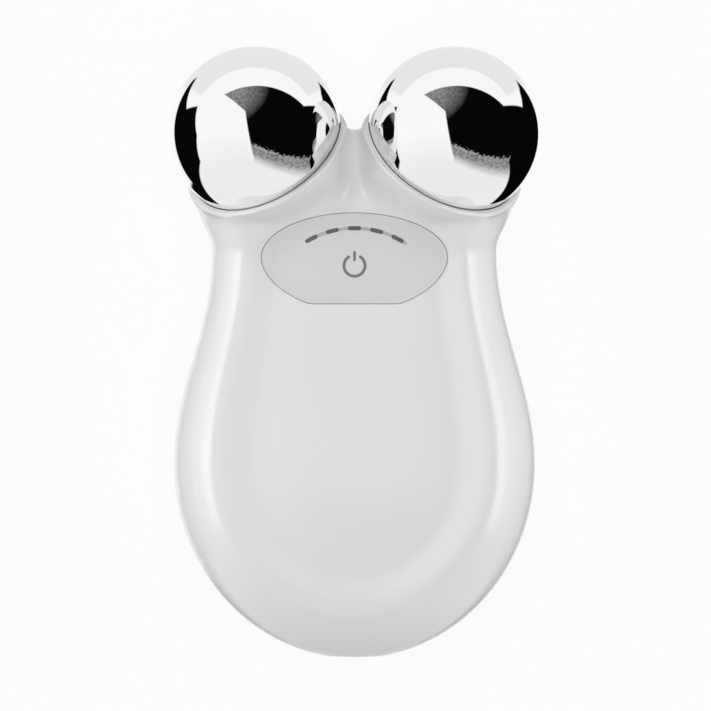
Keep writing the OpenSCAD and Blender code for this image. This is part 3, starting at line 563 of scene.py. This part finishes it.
def socket_edge(face):
    """Half of the edge of the charging socket's hole, in the tail."""
    t = np.linspace(0, 2 * np.pi, 240, endpoint=False)
    half, straight = socket_hole(HOLE_ROUND)
    inward = -np.stack([np.cos(t), np.zeros_like(t), np.sin(t)], -1)
    start = np.stack([np.sign(np.cos(t)) * straight + half * np.cos(t), np.full_like(t, TAIL_Y),
                      SOCKET_Z + half * np.sin(t)], -1)
    start = cast(start, np.array([0, -1.0, 0]), 0, 20)
    points, normals = edge_strip(start, skin_normal(start), inward, np.array([0, 1.0, 0]),
                                 HOLE_ROUND, SOCKET_WALL)

    def keep(p):
        """Positive on this shell's side of the parting plane."""
        return face * (p[..., 2] - parting_z(p[..., 1])) - SOCKET_SHORT
    return cut_grid(points, normals, keep, closed=True)


def opening_edge():
    """Edge of the panel's opening in the front shell."""
    ring = OUTLINE + OUTLINE_OUT * (PANEL_GAP + OPENING_ROUND)
    start = skin_over(ring[:, 0], ring[:, 1])
    inward = np.stack([-OUTLINE_OUT[:, 0], -OUTLINE_OUT[:, 1], np.zeros(len(ring))], -1)
    points, normals = edge_strip(start, skin_normal(start), inward, np.array([0, 0, -1.0]),
                                 OPENING_ROUND, OPENING_WALL)
    return whole_grid(points, normals, closed=True)


def screw_edges():
    """Edges and walls of the screw holes in the back shell, and the seats of the screws' heads."""
    t = np.linspace(0, 2 * np.pi, 96, endpoint=False)
    round_way = np.stack([np.cos(t), np.sin(t), np.zeros_like(t)], -1)
    patches = []
    for x, y, seat in SCREWS:
        ring = (SCREW_HOLE_R + HOLE_ROUND) * round_way
        start = skin_over(x + ring[:, 0], y + ring[:, 1], -1)
        points, normals = edge_strip(start, skin_normal(start), -round_way,
                                     np.array([0, 0, 1.0]), HOLE_ROUND, 0)
        wall = np.stack([x + SCREW_HOLE_R * round_way[:, 0], y + SCREW_HOLE_R * round_way[:, 1],
                         np.full_like(t, seat)], -1)
        points[-1] = wall
        patches.append(whole_grid(points, normals, closed=True))
        shank = wall * [0, 0, 1] + np.array([x, y, 0]) + SHANK_HOLE_R * round_way
        under = np.stack([wall, shank])
        down = np.broadcast_to([0, 0, -1.0], under.shape).copy()
        patches.append(whole_grid(under, down, closed=True))
    return patches


# -------------------------------------------- balls and panel

def ball_surface(side):
    """A sphere turned about the cup's axis, open at the foot with a small rounded edge.

    Its radius is the ball's times the sine, and its height times the cosine, of the angle off
    the axis. At the foot follow a quarter circle inwards and a short wall.
    """
    axis, way = round_axis(side, 300)
    foot = math.asin(FOOT_R / BALL_R)
    polar = np.linspace(0, np.pi - foot, 170)
    r = BALL_R * np.sin(polar)
    h = BALL_R * np.cos(polar)
    t = np.linspace(0, np.pi / 2, 5)[1:]
    r = np.concatenate([r, r[-1] - FOOT_ROUND * np.sin(t), [r[-1] - FOOT_ROUND]])
    h = np.concatenate([h, h[-1] + FOOT_ROUND * (1 - np.cos(t)), [h[-1] + FOOT_DEPTH]])
    centre = ball_centre(side)
    points = centre + r[:, None, None] * way + h[:, None, None] * axis
    normals = (points - centre) / np.linalg.norm(points - centre, axis=-1, keepdims=True)
    normals[-3:] = -way
    return points, normals


def panel_top(x, y):
    """The panel's upper face: the shell's skin carried on over the opening, slightly proud."""
    p = skin_over(x, y)
    n = skin_normal(p)
    return p + [0, 0, PANEL_PROUD], n


def panel_cap():
    """Rings of the outline drawn in to the middle, a quarter round at the edge, and a side wall."""
    ring = OUTLINE - OUTLINE_OUT * PANEL_ROUND
    middle = np.array([0, PANEL_Y])
    share = np.linspace(0, 1, 48)[:, None, None]
    flat = middle + (ring - middle) * share
    points, normals = panel_top(flat[..., 0], flat[..., 1])
    out = np.stack([OUTLINE_OUT[:, 0], OUTLINE_OUT[:, 1], np.zeros(len(ring))], -1)
    edge, edge_n = edge_strip(points[-1], normals[-1], out, np.array([0, 0, -1.0]),
                              PANEL_ROUND, PANEL_WALL)
    points = np.concatenate([points, edge[1:]])
    return whole_grid(points, np.concatenate([normals, edge_n[1:]]), closed=True)


def inlay(path, length, width, lift):
    """A thin bar laid in the panel along a path, its width running out as half circles.

    Across, it is raised by 1 less the fourth power of the share of the half width, and its two
    sides go down into the panel.
    """
    r = width / 2
    ends = r * (1 - np.cos(np.linspace(0, np.pi / 2, 9)))
    run = np.linspace(r, length - r, max(int(length / INLAY_STEP), 8))
    u = np.concatenate([ends[:-1], run, length - ends[-2::-1]])
    over = np.maximum(np.maximum(r - u, u - (length - r)), 0)
    half = np.sqrt(np.maximum(r * r - over * over, 0))
    s = np.array([-1, -1, -0.96, -0.85, -0.6, -0.3, 0, 0.3, 0.6, 0.85, 0.96, 1, 1])
    x, y = path(u[:, None], half[:, None] * s)
    top, normals = panel_top(x, y)
    rise = lift * (1 - np.abs(s) ** 4) + INLAY_RISE
    rise[0] = rise[-1] = INLAY_SKIRT
    points = top + rise[None, :, None] * np.array([0, 0, 1.0])
    return whole_grid(points, normals)


def on_arc(start):
    """Path round the arc of lights, from an angle off +Y, clockwise."""
    def path(u, v):
        a = math.radians(start) + u / ARC_R
        return (ARC_R + v) * np.sin(a), ARC_Y + (ARC_R + v) * np.cos(a)
    return path


def on_mark_ring(u, v):
    """Path round the power mark's ring, from one side of its gap to the other."""
    r = MARK_R - MARK_W / 2
    a = math.asin(MARK_GAP / r) + u / r
    return (r - v) * np.sin(a), MARK_Y + (r - v) * np.cos(a)


def on_mark_bar(u, v):
    """Path up the power mark's bar."""
    return v + 0 * u, MARK_Y + MARK_BAR_START * MARK_R + u + 0 * v


# -------------------------------------------- materials

class Finish:
    """A procedural material built on one Principled shader and the piece's Object coordinates."""

    def __init__(self, name, colour, roughness, metallic=0.0, coat=0.0, coat_roughness=0.05,
                 specular=0.5):
        self.material = bpy.data.materials.new(name)
        self.material.use_nodes = True
        self.nodes = self.material.node_tree.nodes
        self.links = self.material.node_tree.links
        self.shader = self.nodes["Principled BSDF"]
        self.colour = colour
        self.set("Base Color", (*colour, 1))
        self.set("Roughness", roughness)
        self.set("Metallic", metallic)
        self.set("Coat Weight", coat)
        self.set("Coat Roughness", coat_roughness)
        self.set("Specular IOR Level", specular)
        self.place = self.nodes.new("ShaderNodeTexCoord").outputs["Object"]
        self.normal = None

    def set(self, socket, value):
        """Gives a socket of the shader one value all over the piece."""
        self.shader.inputs[socket].default_value = value

    def noise(self, scale, detail, stretch=(1, 1, 1)):
        """Noise with features of 1/scale metres, finer along each axis by the number in stretch."""
        mapping = self.nodes.new("ShaderNodeMapping")
        mapping.inputs["Scale"].default_value = stretch
        self.links.new(self.place, mapping.inputs["Vector"])
        node = self.nodes.new("ShaderNodeTexNoise")
        node.inputs["Scale"].default_value = scale
        node.inputs["Detail"].default_value = detail
        self.links.new(mapping.outputs["Vector"], node.inputs["Vector"])
        return node.outputs["Fac"]

    def ranged(self, value, low, high, start=0.3, end=0.7):
        """Goes evenly from low to high while value goes from start to end."""
        node = self.nodes.new("ShaderNodeMapRange")
        for name, number in (("From Min", start), ("From Max", end),
                             ("To Min", low), ("To Max", high)):
            node.inputs[name].default_value = number
        self.links.new(value, node.inputs["Value"])
        return node.outputs["Result"]

    def tint(self, value, other, start=0.35, end=0.65):
        """Mixes the base colour towards another where value is high."""
        node = self.nodes.new("ShaderNodeMix")
        node.data_type = "RGBA"
        node.inputs["A"].default_value = (*self.colour, 1)
        node.inputs["B"].default_value = (*other, 1)
        self.links.new(self.ranged(value, 0, 1, start, end), node.inputs["Factor"])
        self.links.new(node.outputs["Result"], self.shader.inputs["Base Color"])
        return self

    def rough(self, value, low, high):
        """Varies the roughness from low to high with value."""
        self.links.new(self.ranged(value, low, high), self.shader.inputs["Roughness"])
        return self

    def bump(self, value, height, strength=1.0):
        """Raises the surface by so many metres where value is high."""
        node = self.nodes.new("ShaderNodeBump")
        node.inputs["Strength"].default_value = strength
        node.inputs["Distance"].default_value = height
        self.links.new(value, node.inputs["Height"])
        if self.normal:
            self.links.new(self.normal, node.inputs["Normal"])
        self.normal = node.outputs["Normal"]
        self.links.new(self.normal, self.shader.inputs["Normal"])
        return self


def gloss_white(name, shade):
    """Polished lacquered white plastic: faint orange peel and a slight unevenness of the gloss.

    The roughness stays under 0.27, because the noise filter leaves patches where it is crossed.
    """
    f = Finish(name, (shade, shade, shade), 0.26, coat=0.3, coat_roughness=0.1)
    f.tint(f.noise(30, 1), (shade * 0.995, shade * 0.995, shade * 0.993), 0.2, 0.8)
    f.rough(f.noise(220, 3), 0.245, 0.268)
    f.bump(f.noise(420, 2), 1e-7)
    return f.material


def mirror_plating(name):
    """Bright plating: a mirror with the finest haze and hairlines."""
    f = Finish(name, (0.94, 0.94, 0.943), 0.03, metallic=1.0)
    f.tint(f.noise(90, 2), (0.92, 0.92, 0.926))
    f.rough(f.noise(160, 4), 0.012, 0.035)
    f.bump(f.noise(900, 2, (1, 6, 1)), 4e-8)
    return f.material


def matte_panel(name, shade):
    """Soft-touch matte plastic with a fine even grain."""
    f = Finish(name, (shade, shade, shade), 0.55, specular=0.4)
    f.tint(f.noise(140, 3), (shade * 0.975, shade * 0.975, shade * 0.975))
    f.rough(f.noise(2600, 2), 0.5, 0.62)
    f.bump(f.noise(5200, 2), 3e-6)
    return f.material


def moulded(name, colour, roughness, grain, height, fleck):
    """Moulded plastic, rubber or ceramic with grain and a cloudy tone."""
    f = Finish(name, colour, roughness)
    f.tint(f.noise(300, 3), tuple(c * fleck for c in colour))
    f.rough(f.noise(grain / 4, 2), roughness - 0.06, roughness + 0.08)
    f.bump(f.noise(grain, 2), height)
    return f.material


def metal(name, colour, roughness, stretch, lines=1500, height=1.5e-6):
    """Turned, drawn or stamped metal with fine lines along one way."""
    f = Finish(name, colour, roughness, metallic=1.0)
    f.tint(f.noise(250, 3), tuple(c * 0.9 for c in colour))
    f.rough(f.noise(lines, 3, stretch), roughness - 0.08, roughness + 0.12)
    f.bump(f.noise(lines, 2, stretch), height)
    return f.material


def solder_mask(name):
    """Green board with faint tracks under the lacquer."""
    f = Finish(name, (0.012, 0.12, 0.05), 0.32, coat=0.3)
    tracks = f.noise(520, 1, (1, 0.15, 1))
    f.tint(tracks, (0.03, 0.19, 0.08), 0.49, 0.52)
    f.bump(tracks, 2e-5, 0.6)
    f.rough(f.noise(900, 2), 0.26, 0.4)
    return f.material


# -------------------------------------------- building the pieces

shell_white = gloss_white("gloss_white", 0.86)
back_white = gloss_white("gloss_white_back", 0.855)
plating = mirror_plating("ball_plating")
panel_matte = matte_panel("panel_matte", 0.75)

front = cut_grid(*shell_skin(1, (110, 104, 168), 210), lambda p: np.minimum.reduce([
    off_rims(p), off_panel(p, PANEL_GAP + OPENING_ROUND), off_socket(p, HOLE_ROUND)]))
piece("front_shell_skin", [front, *lips(1), opening_edge(), socket_edge(1)], CASING, shell_white,
      ["front_shell"])

back = cut_grid(*shell_skin(-1, (100, 96, 160), 200), lambda p: np.minimum.reduce([
    off_rims(p), off_screws(p, HOLE_ROUND), off_socket(p, HOLE_ROUND)]))
piece("back_shell_skin", [back, *lips(-1), socket_edge(-1), *screw_edges()], CASING, back_white,
      ["back_shell"])

for side, word in ((-1, "left"), (1, "right")):
    piece("ball_" + word + "_plated", [whole_grid(*ball_surface(side), closed=True)], CASING,
          plating, ["ball_" + word])

piece("panel_cap", [panel_cap()], PANEL, panel_matte, ["control_panel"])

strip_length = math.radians(STRIP_ENDS[1] - STRIP_ENDS[0]) * ARC_R
piece("light_strip", [inlay(on_arc(STRIP_ENDS[0]), strip_length, STRIP_W, 0.006)], PANEL,
      moulded("strip_grey", (0.5, 0.5, 0.5), 0.35, 2000, 1e-6, 0.97), ["level_strip"])
half_window = math.degrees(WINDOW_LEN / ARC_R) / 2
piece("light_windows", [inlay(on_arc(k * WINDOW_STEP - half_window), WINDOW_LEN, WINDOW_W, 0.02)
                        for k in range(-2, 3)], PANEL,
      moulded("window_dark", (0.125, 0.125, 0.13), 0.3, 1800, 5e-7, 0.94),
      ["level_windows"])
ring_r = MARK_R - MARK_W / 2
ring_length = 2 * ring_r * (math.pi - math.asin(MARK_GAP / ring_r))
bar_length, bar_width = MARK_BAR_LEN * MARK_R, MARK_W * MARK_BAR_W
piece("power_symbol", [inlay(on_mark_ring, ring_length, MARK_W, 0.012),
                       inlay(on_mark_bar, bar_length, bar_width, 0.012)], PANEL,
      moulded("mark_grey", (0.2, 0.2, 0.2), 0.45, 2500, 1e-6, 0.93), ["power_mark"])

# finishes of the pieces that keep their solids, by the slot that the record gives them
FINISHES = {
    "stud_metal": metal("stud_turned", (0.66, 0.66, 0.67), 0.28, (1, 1, 8)),
    "seal_rubber": moulded("seal_rubber", (0.03, 0.03, 0.032), 0.7, 1800, 8e-6, 0.8),
    "frame_plastic": moulded("frame_plastic", (0.09, 0.09, 0.095), 0.5, 2400, 6e-6, 0.85),
    "nut_brass": metal("nut_brass", (0.78, 0.6, 0.3), 0.3, (6, 1, 1)),
    "ring_brass": metal("ring_tinned", (0.8, 0.74, 0.6), 0.34, (1, 6, 1)),
    "wire_white": moulded("wire_white", (0.8, 0.8, 0.78), 0.42, 1500, 3e-6, 0.95),
    "plunger_black": moulded("plunger_black", (0.02, 0.02, 0.02), 0.45, 2600, 3e-6, 0.7),
    "switch_metal": metal("switch_stamped", (0.7, 0.7, 0.69), 0.36, (1, 9, 1)),
    "board_green": solder_mask("solder_mask"),
    "led_white": moulded("led_phosphor", (0.85, 0.78, 0.5), 0.35, 3500, 2e-6, 0.93),
    "shroud_black": moulded("shroud_black", (0.015, 0.015, 0.016), 0.65, 2200, 7e-6, 0.7),
    "chip_black": moulded("chip_black", (0.022, 0.022, 0.024), 0.55, 4200, 3e-6, 0.75),
    "coil_ferrite": moulded("coil_ferrite", (0.05, 0.05, 0.052), 0.6, 3800, 6e-6, 0.75),
    "can_metal": metal("can_drawn", (0.78, 0.79, 0.8), 0.3, (1, 1, 12)),
    "ceramic_tan": moulded("ceramic_tan", (0.42, 0.3, 0.19), 0.45, 3000, 2e-6, 0.85),
    "buzzer_black": moulded("buzzer_black", (0.018, 0.018, 0.02), 0.42, 2600, 3e-6, 0.75),
    "cell_foil": metal("cell_foil", (0.72, 0.73, 0.75), 0.34, (3, 1, 1), 700, 6e-6),
    "pad_foam": moulded("pad_foam", (0.03, 0.03, 0.032), 0.85, 1400, 3e-5, 0.6),
    "header_white": moulded("header_white", (0.83, 0.8, 0.72), 0.45, 2600, 2e-6, 0.95),
    "plug_ivory": moulded("plug_ivory", (0.8, 0.75, 0.6), 0.42, 2600, 2e-6, 0.94),
    "wire_red": moulded("wire_red", (0.6, 0.02, 0.015), 0.4, 1500, 3e-6, 0.85),
    "wire_black": moulded("wire_black", (0.02, 0.02, 0.02), 0.4, 1500, 3e-6, 0.75),
    "socket_steel": metal("socket_steel", (0.72, 0.72, 0.73), 0.26, (1, 10, 1)),
    "core_black": moulded("core_black", (0.02, 0.02, 0.021), 0.45, 3200, 2e-6, 0.75),
    "screw_steel": metal("screw_zinc", (0.62, 0.63, 0.65), 0.32, (1, 1, 5)),
}
node_slots = {s["node"]: s["material_slot"] for s in frame["record"]["subparts"]}
for node_name, node in frame["nodes"].items():
    finish = FINISHES.get(node_slots.get(node_name))
    if finish:
        node.data.materials.clear()
        node.data.materials.append(finish)


# -------------------------------------------- floor, light and camera

DARKEST = 0.998       # share of the light that the openings of the tent swallow
ROOM_LIGHT = 0.35     # strength of the even light that matt surfaces get
FLOOR_GLOW = 0.93     # share of plain white in what the camera sees of the floor
AIM = (0, 0, 0.015)   # where the lamps point, in metres


def floor():
    """A pale floor that the camera sees as a white ground with a trace of the shadow."""
    mesh = bpy.data.meshes.new("floor")
    mesh.from_pydata([(-3, -3, 0), (3, -3, 0), (3, 3, 0), (-3, 3, 0)], [], [(0, 1, 2, 3)])
    obj = bpy.data.objects.new("floor", mesh)
    bpy.context.scene.collection.objects.link(obj)
    material = bpy.data.materials.new("floor_pale")
    material.use_nodes = True
    nodes, links = material.node_tree.nodes, material.node_tree.links
    nodes["Principled BSDF"].inputs["Base Color"].default_value = (0.8, 0.8, 0.8, 1)
    nodes["Principled BSDF"].inputs["Roughness"].default_value = 0.9
    glow = nodes.new("ShaderNodeEmission")
    glow.inputs["Color"].default_value = (1, 1, 1, 1)
    path = nodes.new("ShaderNodeLightPath")
    share = nodes.new("ShaderNodeMath")
    share.operation = "MULTIPLY"
    share.inputs[1].default_value = FLOOR_GLOW
    mix = nodes.new("ShaderNodeMixShader")
    links.new(path.outputs["Is Camera Ray"], share.inputs[0])
    links.new(share.outputs[0], mix.inputs["Fac"])
    links.new(nodes["Principled BSDF"].outputs[0], mix.inputs[1])
    links.new(glow.outputs[0], mix.inputs[2])
    links.new(mix.outputs[0], nodes["Material Output"].inputs["Surface"])
    mesh.materials.append(material)
    obj.visible_glossy = False


def studio():
    """Plain even light for matt surfaces; polished ones see a white tent with dark openings in it.

    A direction lies in an opening when it is past the planes that bound it. Most of the planes
    go through the object and hold two of the opening's corners; an offset moves the others.
    """
    world = bpy.data.worlds.new("studio")
    bpy.context.scene.world = world
    world.use_nodes = True
    nodes, links = world.node_tree.nodes, world.node_tree.links
    way = nodes.new("ShaderNodeTexCoord").outputs["Generated"]

    def combined(kind, first, *others):
        """The values joined one after the other by one kind of sum."""
        for other in others:
            node = nodes.new("ShaderNodeMath")
            node.operation = kind
            for socket, value in zip(node.inputs, (first, other)):
                if isinstance(value, float):
                    socket.default_value = value
                else:
                    links.new(value, socket)
            first = node.outputs[0]
        return first

    def both(*tests):
        """As far as all of the tests hold."""
        return combined("MINIMUM", *tests)

    def either(*tests):
        """As far as any of the tests holds."""
        return combined("MAXIMUM", *tests)

    def ramp(value, start, end, share=1.0):
        """Goes evenly from 0 to share while value goes from start to end."""
        node = nodes.new("ShaderNodeMapRange")
        for name, number in (("From Min", start), ("From Max", end), ("To Max", share)):
            node.inputs[name].default_value = number
        links.new(value, node.inputs["Value"])
        return node.outputs["Result"]

    def along(normal):
        """How far the direction goes along a normal."""
        dot = nodes.new("ShaderNodeVectorMath")
        dot.operation = "DOT_PRODUCT"
        links.new(way, dot.inputs[0])
        dot.inputs[1].default_value = Vector(normal).normalized()
        return dot.outputs["Value"]

    def past(normal, offset=0.0, soft=0.012):
        """Whether the direction goes past a plane, with a soft edge."""
        return ramp(along(normal), offset - soft, offset + soft)

    def plane(a, b, inside):
        """Normal of the plane through two directions, towards a third."""
        normal = np.cross(a, b)
        return normal * np.sign(normal @ np.array(inside))

    def speckle(scale):
        """Grains over the whole surroundings, of 1/scale of the distance."""
        node = nodes.new("ShaderNodeTexNoise")
        node.inputs["Scale"].default_value = scale
        node.inputs["Detail"].default_value = 4
        links.new(way, node.inputs["Vector"])
        return ramp(node.outputs["Fac"], 0.3, 0.7)

    # the dark room to the right of the camera, its lower edge broken up and its far corner lighter
    ahead = (0.55, 0.2, 0.81)
    top_left, far_left = (-0.205, 0.447, 0.871), (-0.583, 0.715, 0.387)
    left = past(plane(top_left, (-0.079, -0.316, 0.945), ahead))
    upper_left = past(plane(far_left, top_left, (0, 0.7, 0.7)))
    top = past((0.065, -0.488, 1), 0.01)
    side = past(plane((0.867, 0.462, 0.186), (0.777, 0.255, -0.575), (0.8, -0.1, -0.1)))
    low = along(plane((-0.098, -0.335, 0.937), (0.884, -0.353, -0.305), ahead))
    ragged = combined("ADD", low, combined("MULTIPLY", speckle(18), 0.12))
    grainy = combined("MULTIPLY", ramp(low, -0.32, -0.1), ramp(speckle(18), -1.6, 1.0, 0.86))
    low = either(ramp(ragged, 0.03, 0.15), grainy)
    room = both(either(left, both(upper_left, past((0, 1, 0), 0.0, 0.02))), low, either(top, side),
                past((0, 0, 1), -0.93))
    corner = combined("MULTIPLY", ramp(along((-0.5, 0.75, 0.43)), 0.68, 0.97),
                      ramp(speckle(20), -0.7, 1.0, 0.34))
    room = combined("MULTIPLY", room, combined("SUBTRACT", DARKEST, corner))

    def band(side, deep, horn_y):
        """A tall opening beside the object, low down, with a horn at its upper end."""
        turn = np.array([side, 1, 1])
        within = turn * (0.8, 0, -0.55)
        tip, upper, waist = (turn * to for to in (
            (0.993, -0.055, 0.107), (0.908, 0.416, -0.038), (0.872, 0.309, -0.38)))
        lower, foot, horn_end = (turn * to for to in (
            (0.88, -0.473, -0.031), (0.375, -0.596, -0.71), (0.536, 0.504, -0.677)))
        outer, outer_foot = turn * (0.502, 0.439, -0.745), turn * (0.432, 0.123, -0.893)
        edge = past(plane(upper, waist, within))
        horn = past(plane(horn_end, waist, within))
        return both(either(both(edge, past((0, 0, 1), -0.42)), both(horn, past((0, 0, -1), 0.36))),
                    past(plane(upper, tip, within)), past(plane(lower, tip, within)),
                    past(plane(lower, foot, within)), past(plane(outer, outer_foot, within)),
                    past((0, -1, 0), -horn_y), past((side, 0, 0), 0.03),
                    either(past((0, 0, 1), -deep), past(turn * (-0.55, -0.749, 0))))

    bands = combined("MULTIPLY", either(band(-1, 0.75, 0.5), band(1, 0.93, 0.44)), DARKEST)
    dark = either(room, bands)

    # the tent is a little greyer low down past the balls, and towards the tail's end
    ground = both(past((0, 0, -1), 0.1, 0.015), past((-0.57, 0.82, 0), 0.0, 0.03),
                  past((0.57, 0.82, 0), 0.0, 0.03))
    near_end = ramp(along((0, -1, 0)), 0.1, 0.7, 0.1)
    seen = combined("MULTIPLY", combined("SUBTRACT", 1.0, combined("MULTIPLY", ground, 0.15)),
                    combined("SUBTRACT", 1.0, near_end), combined("SUBTRACT", 1.0, dark))
    ray = nodes.new("ShaderNodeLightPath")
    plain = nodes.new("ShaderNodeMix")
    plain.inputs["A"].default_value = ROOM_LIGHT
    links.new(ray.outputs["Is Glossy Ray"], plain.inputs["Factor"])
    links.new(seen, plain.inputs["B"])
    nodes["Background"].inputs["Color"].default_value = (1, 1, 1, 1)
    links.new(either(plain.outputs["Result"], ray.outputs["Is Camera Ray"]),
              nodes["Background"].inputs["Strength"])


def lamp(name, place, size, power):
    """A soft box in metres and watts that lights the object and isn't mirrored in it."""
    light = bpy.data.lights.new(name, "AREA")
    light.shape = "RECTANGLE"
    light.size, light.size_y = size
    light.energy = power
    obj = bpy.data.objects.new(name, light)
    bpy.context.scene.collection.objects.link(obj)
    obj.location = place
    obj.rotation_euler = (Vector(AIM) - Vector(place)).to_track_quat("-Z", "Y").to_euler()
    obj.visible_glossy = False
    obj.visible_camera = False
    return obj


def shine(name, place, size, power, shines_on):
    """A strip that only shows as a highlight on the gloss of some pieces."""
    obj = lamp(name, place, size, power)
    obj.visible_glossy = True
    obj.visible_diffuse = False
    obj.light_linking.receiver_collection = shines_on


def camera():
    """Straight down on the front with a long lens, 121.8 mm across the picture at its face."""
    data = bpy.data.cameras.new("camera")
    obj = bpy.data.objects.new("camera", data)
    bpy.context.scene.collection.objects.link(obj)
    face_z, distance, across, sensor = 0.02, 1.2, 0.1218, 36
    data.sensor_width = sensor
    data.lens = sensor * distance / across
    data.clip_end = 20
    obj.location = (0.00017, -0.00034, face_z + distance)
    bpy.context.scene.camera = obj


camera()
floor()
studio()
all_but_balls = bpy.data.collections.new("all_but_balls")
for name in ("ball_left_plated", "ball_right_plated"):
    all_but_balls.objects.link(bpy.data.objects[name])
for linked in all_but_balls.collection_objects:
    linked.light_linking.link_state = "EXCLUDE"
shine("strip_left", (-0.8, -0.05, 0.56), (0.8, 0.34), 2.3, all_but_balls)
shine("strip_right", (0.8, -0.05, 0.56), (0.8, 0.34), 2.3, all_but_balls)
lamp("box_left", (-0.9, 0.0, 0.2), (0.8, 0.3), 3.4)
lamp("box_right", (0.9, 0.0, 0.2), (0.8, 0.3), 3.4)
lamp("box_overhead", (0.0, 0.0, 0.45), (0.22, 0.22), 0.6)
lamp("box_head", (0.0, 0.75, 0.65), (0.5, 0.5), 0.75)
bpy.context.scene.view_settings.view_transform = "Standard"
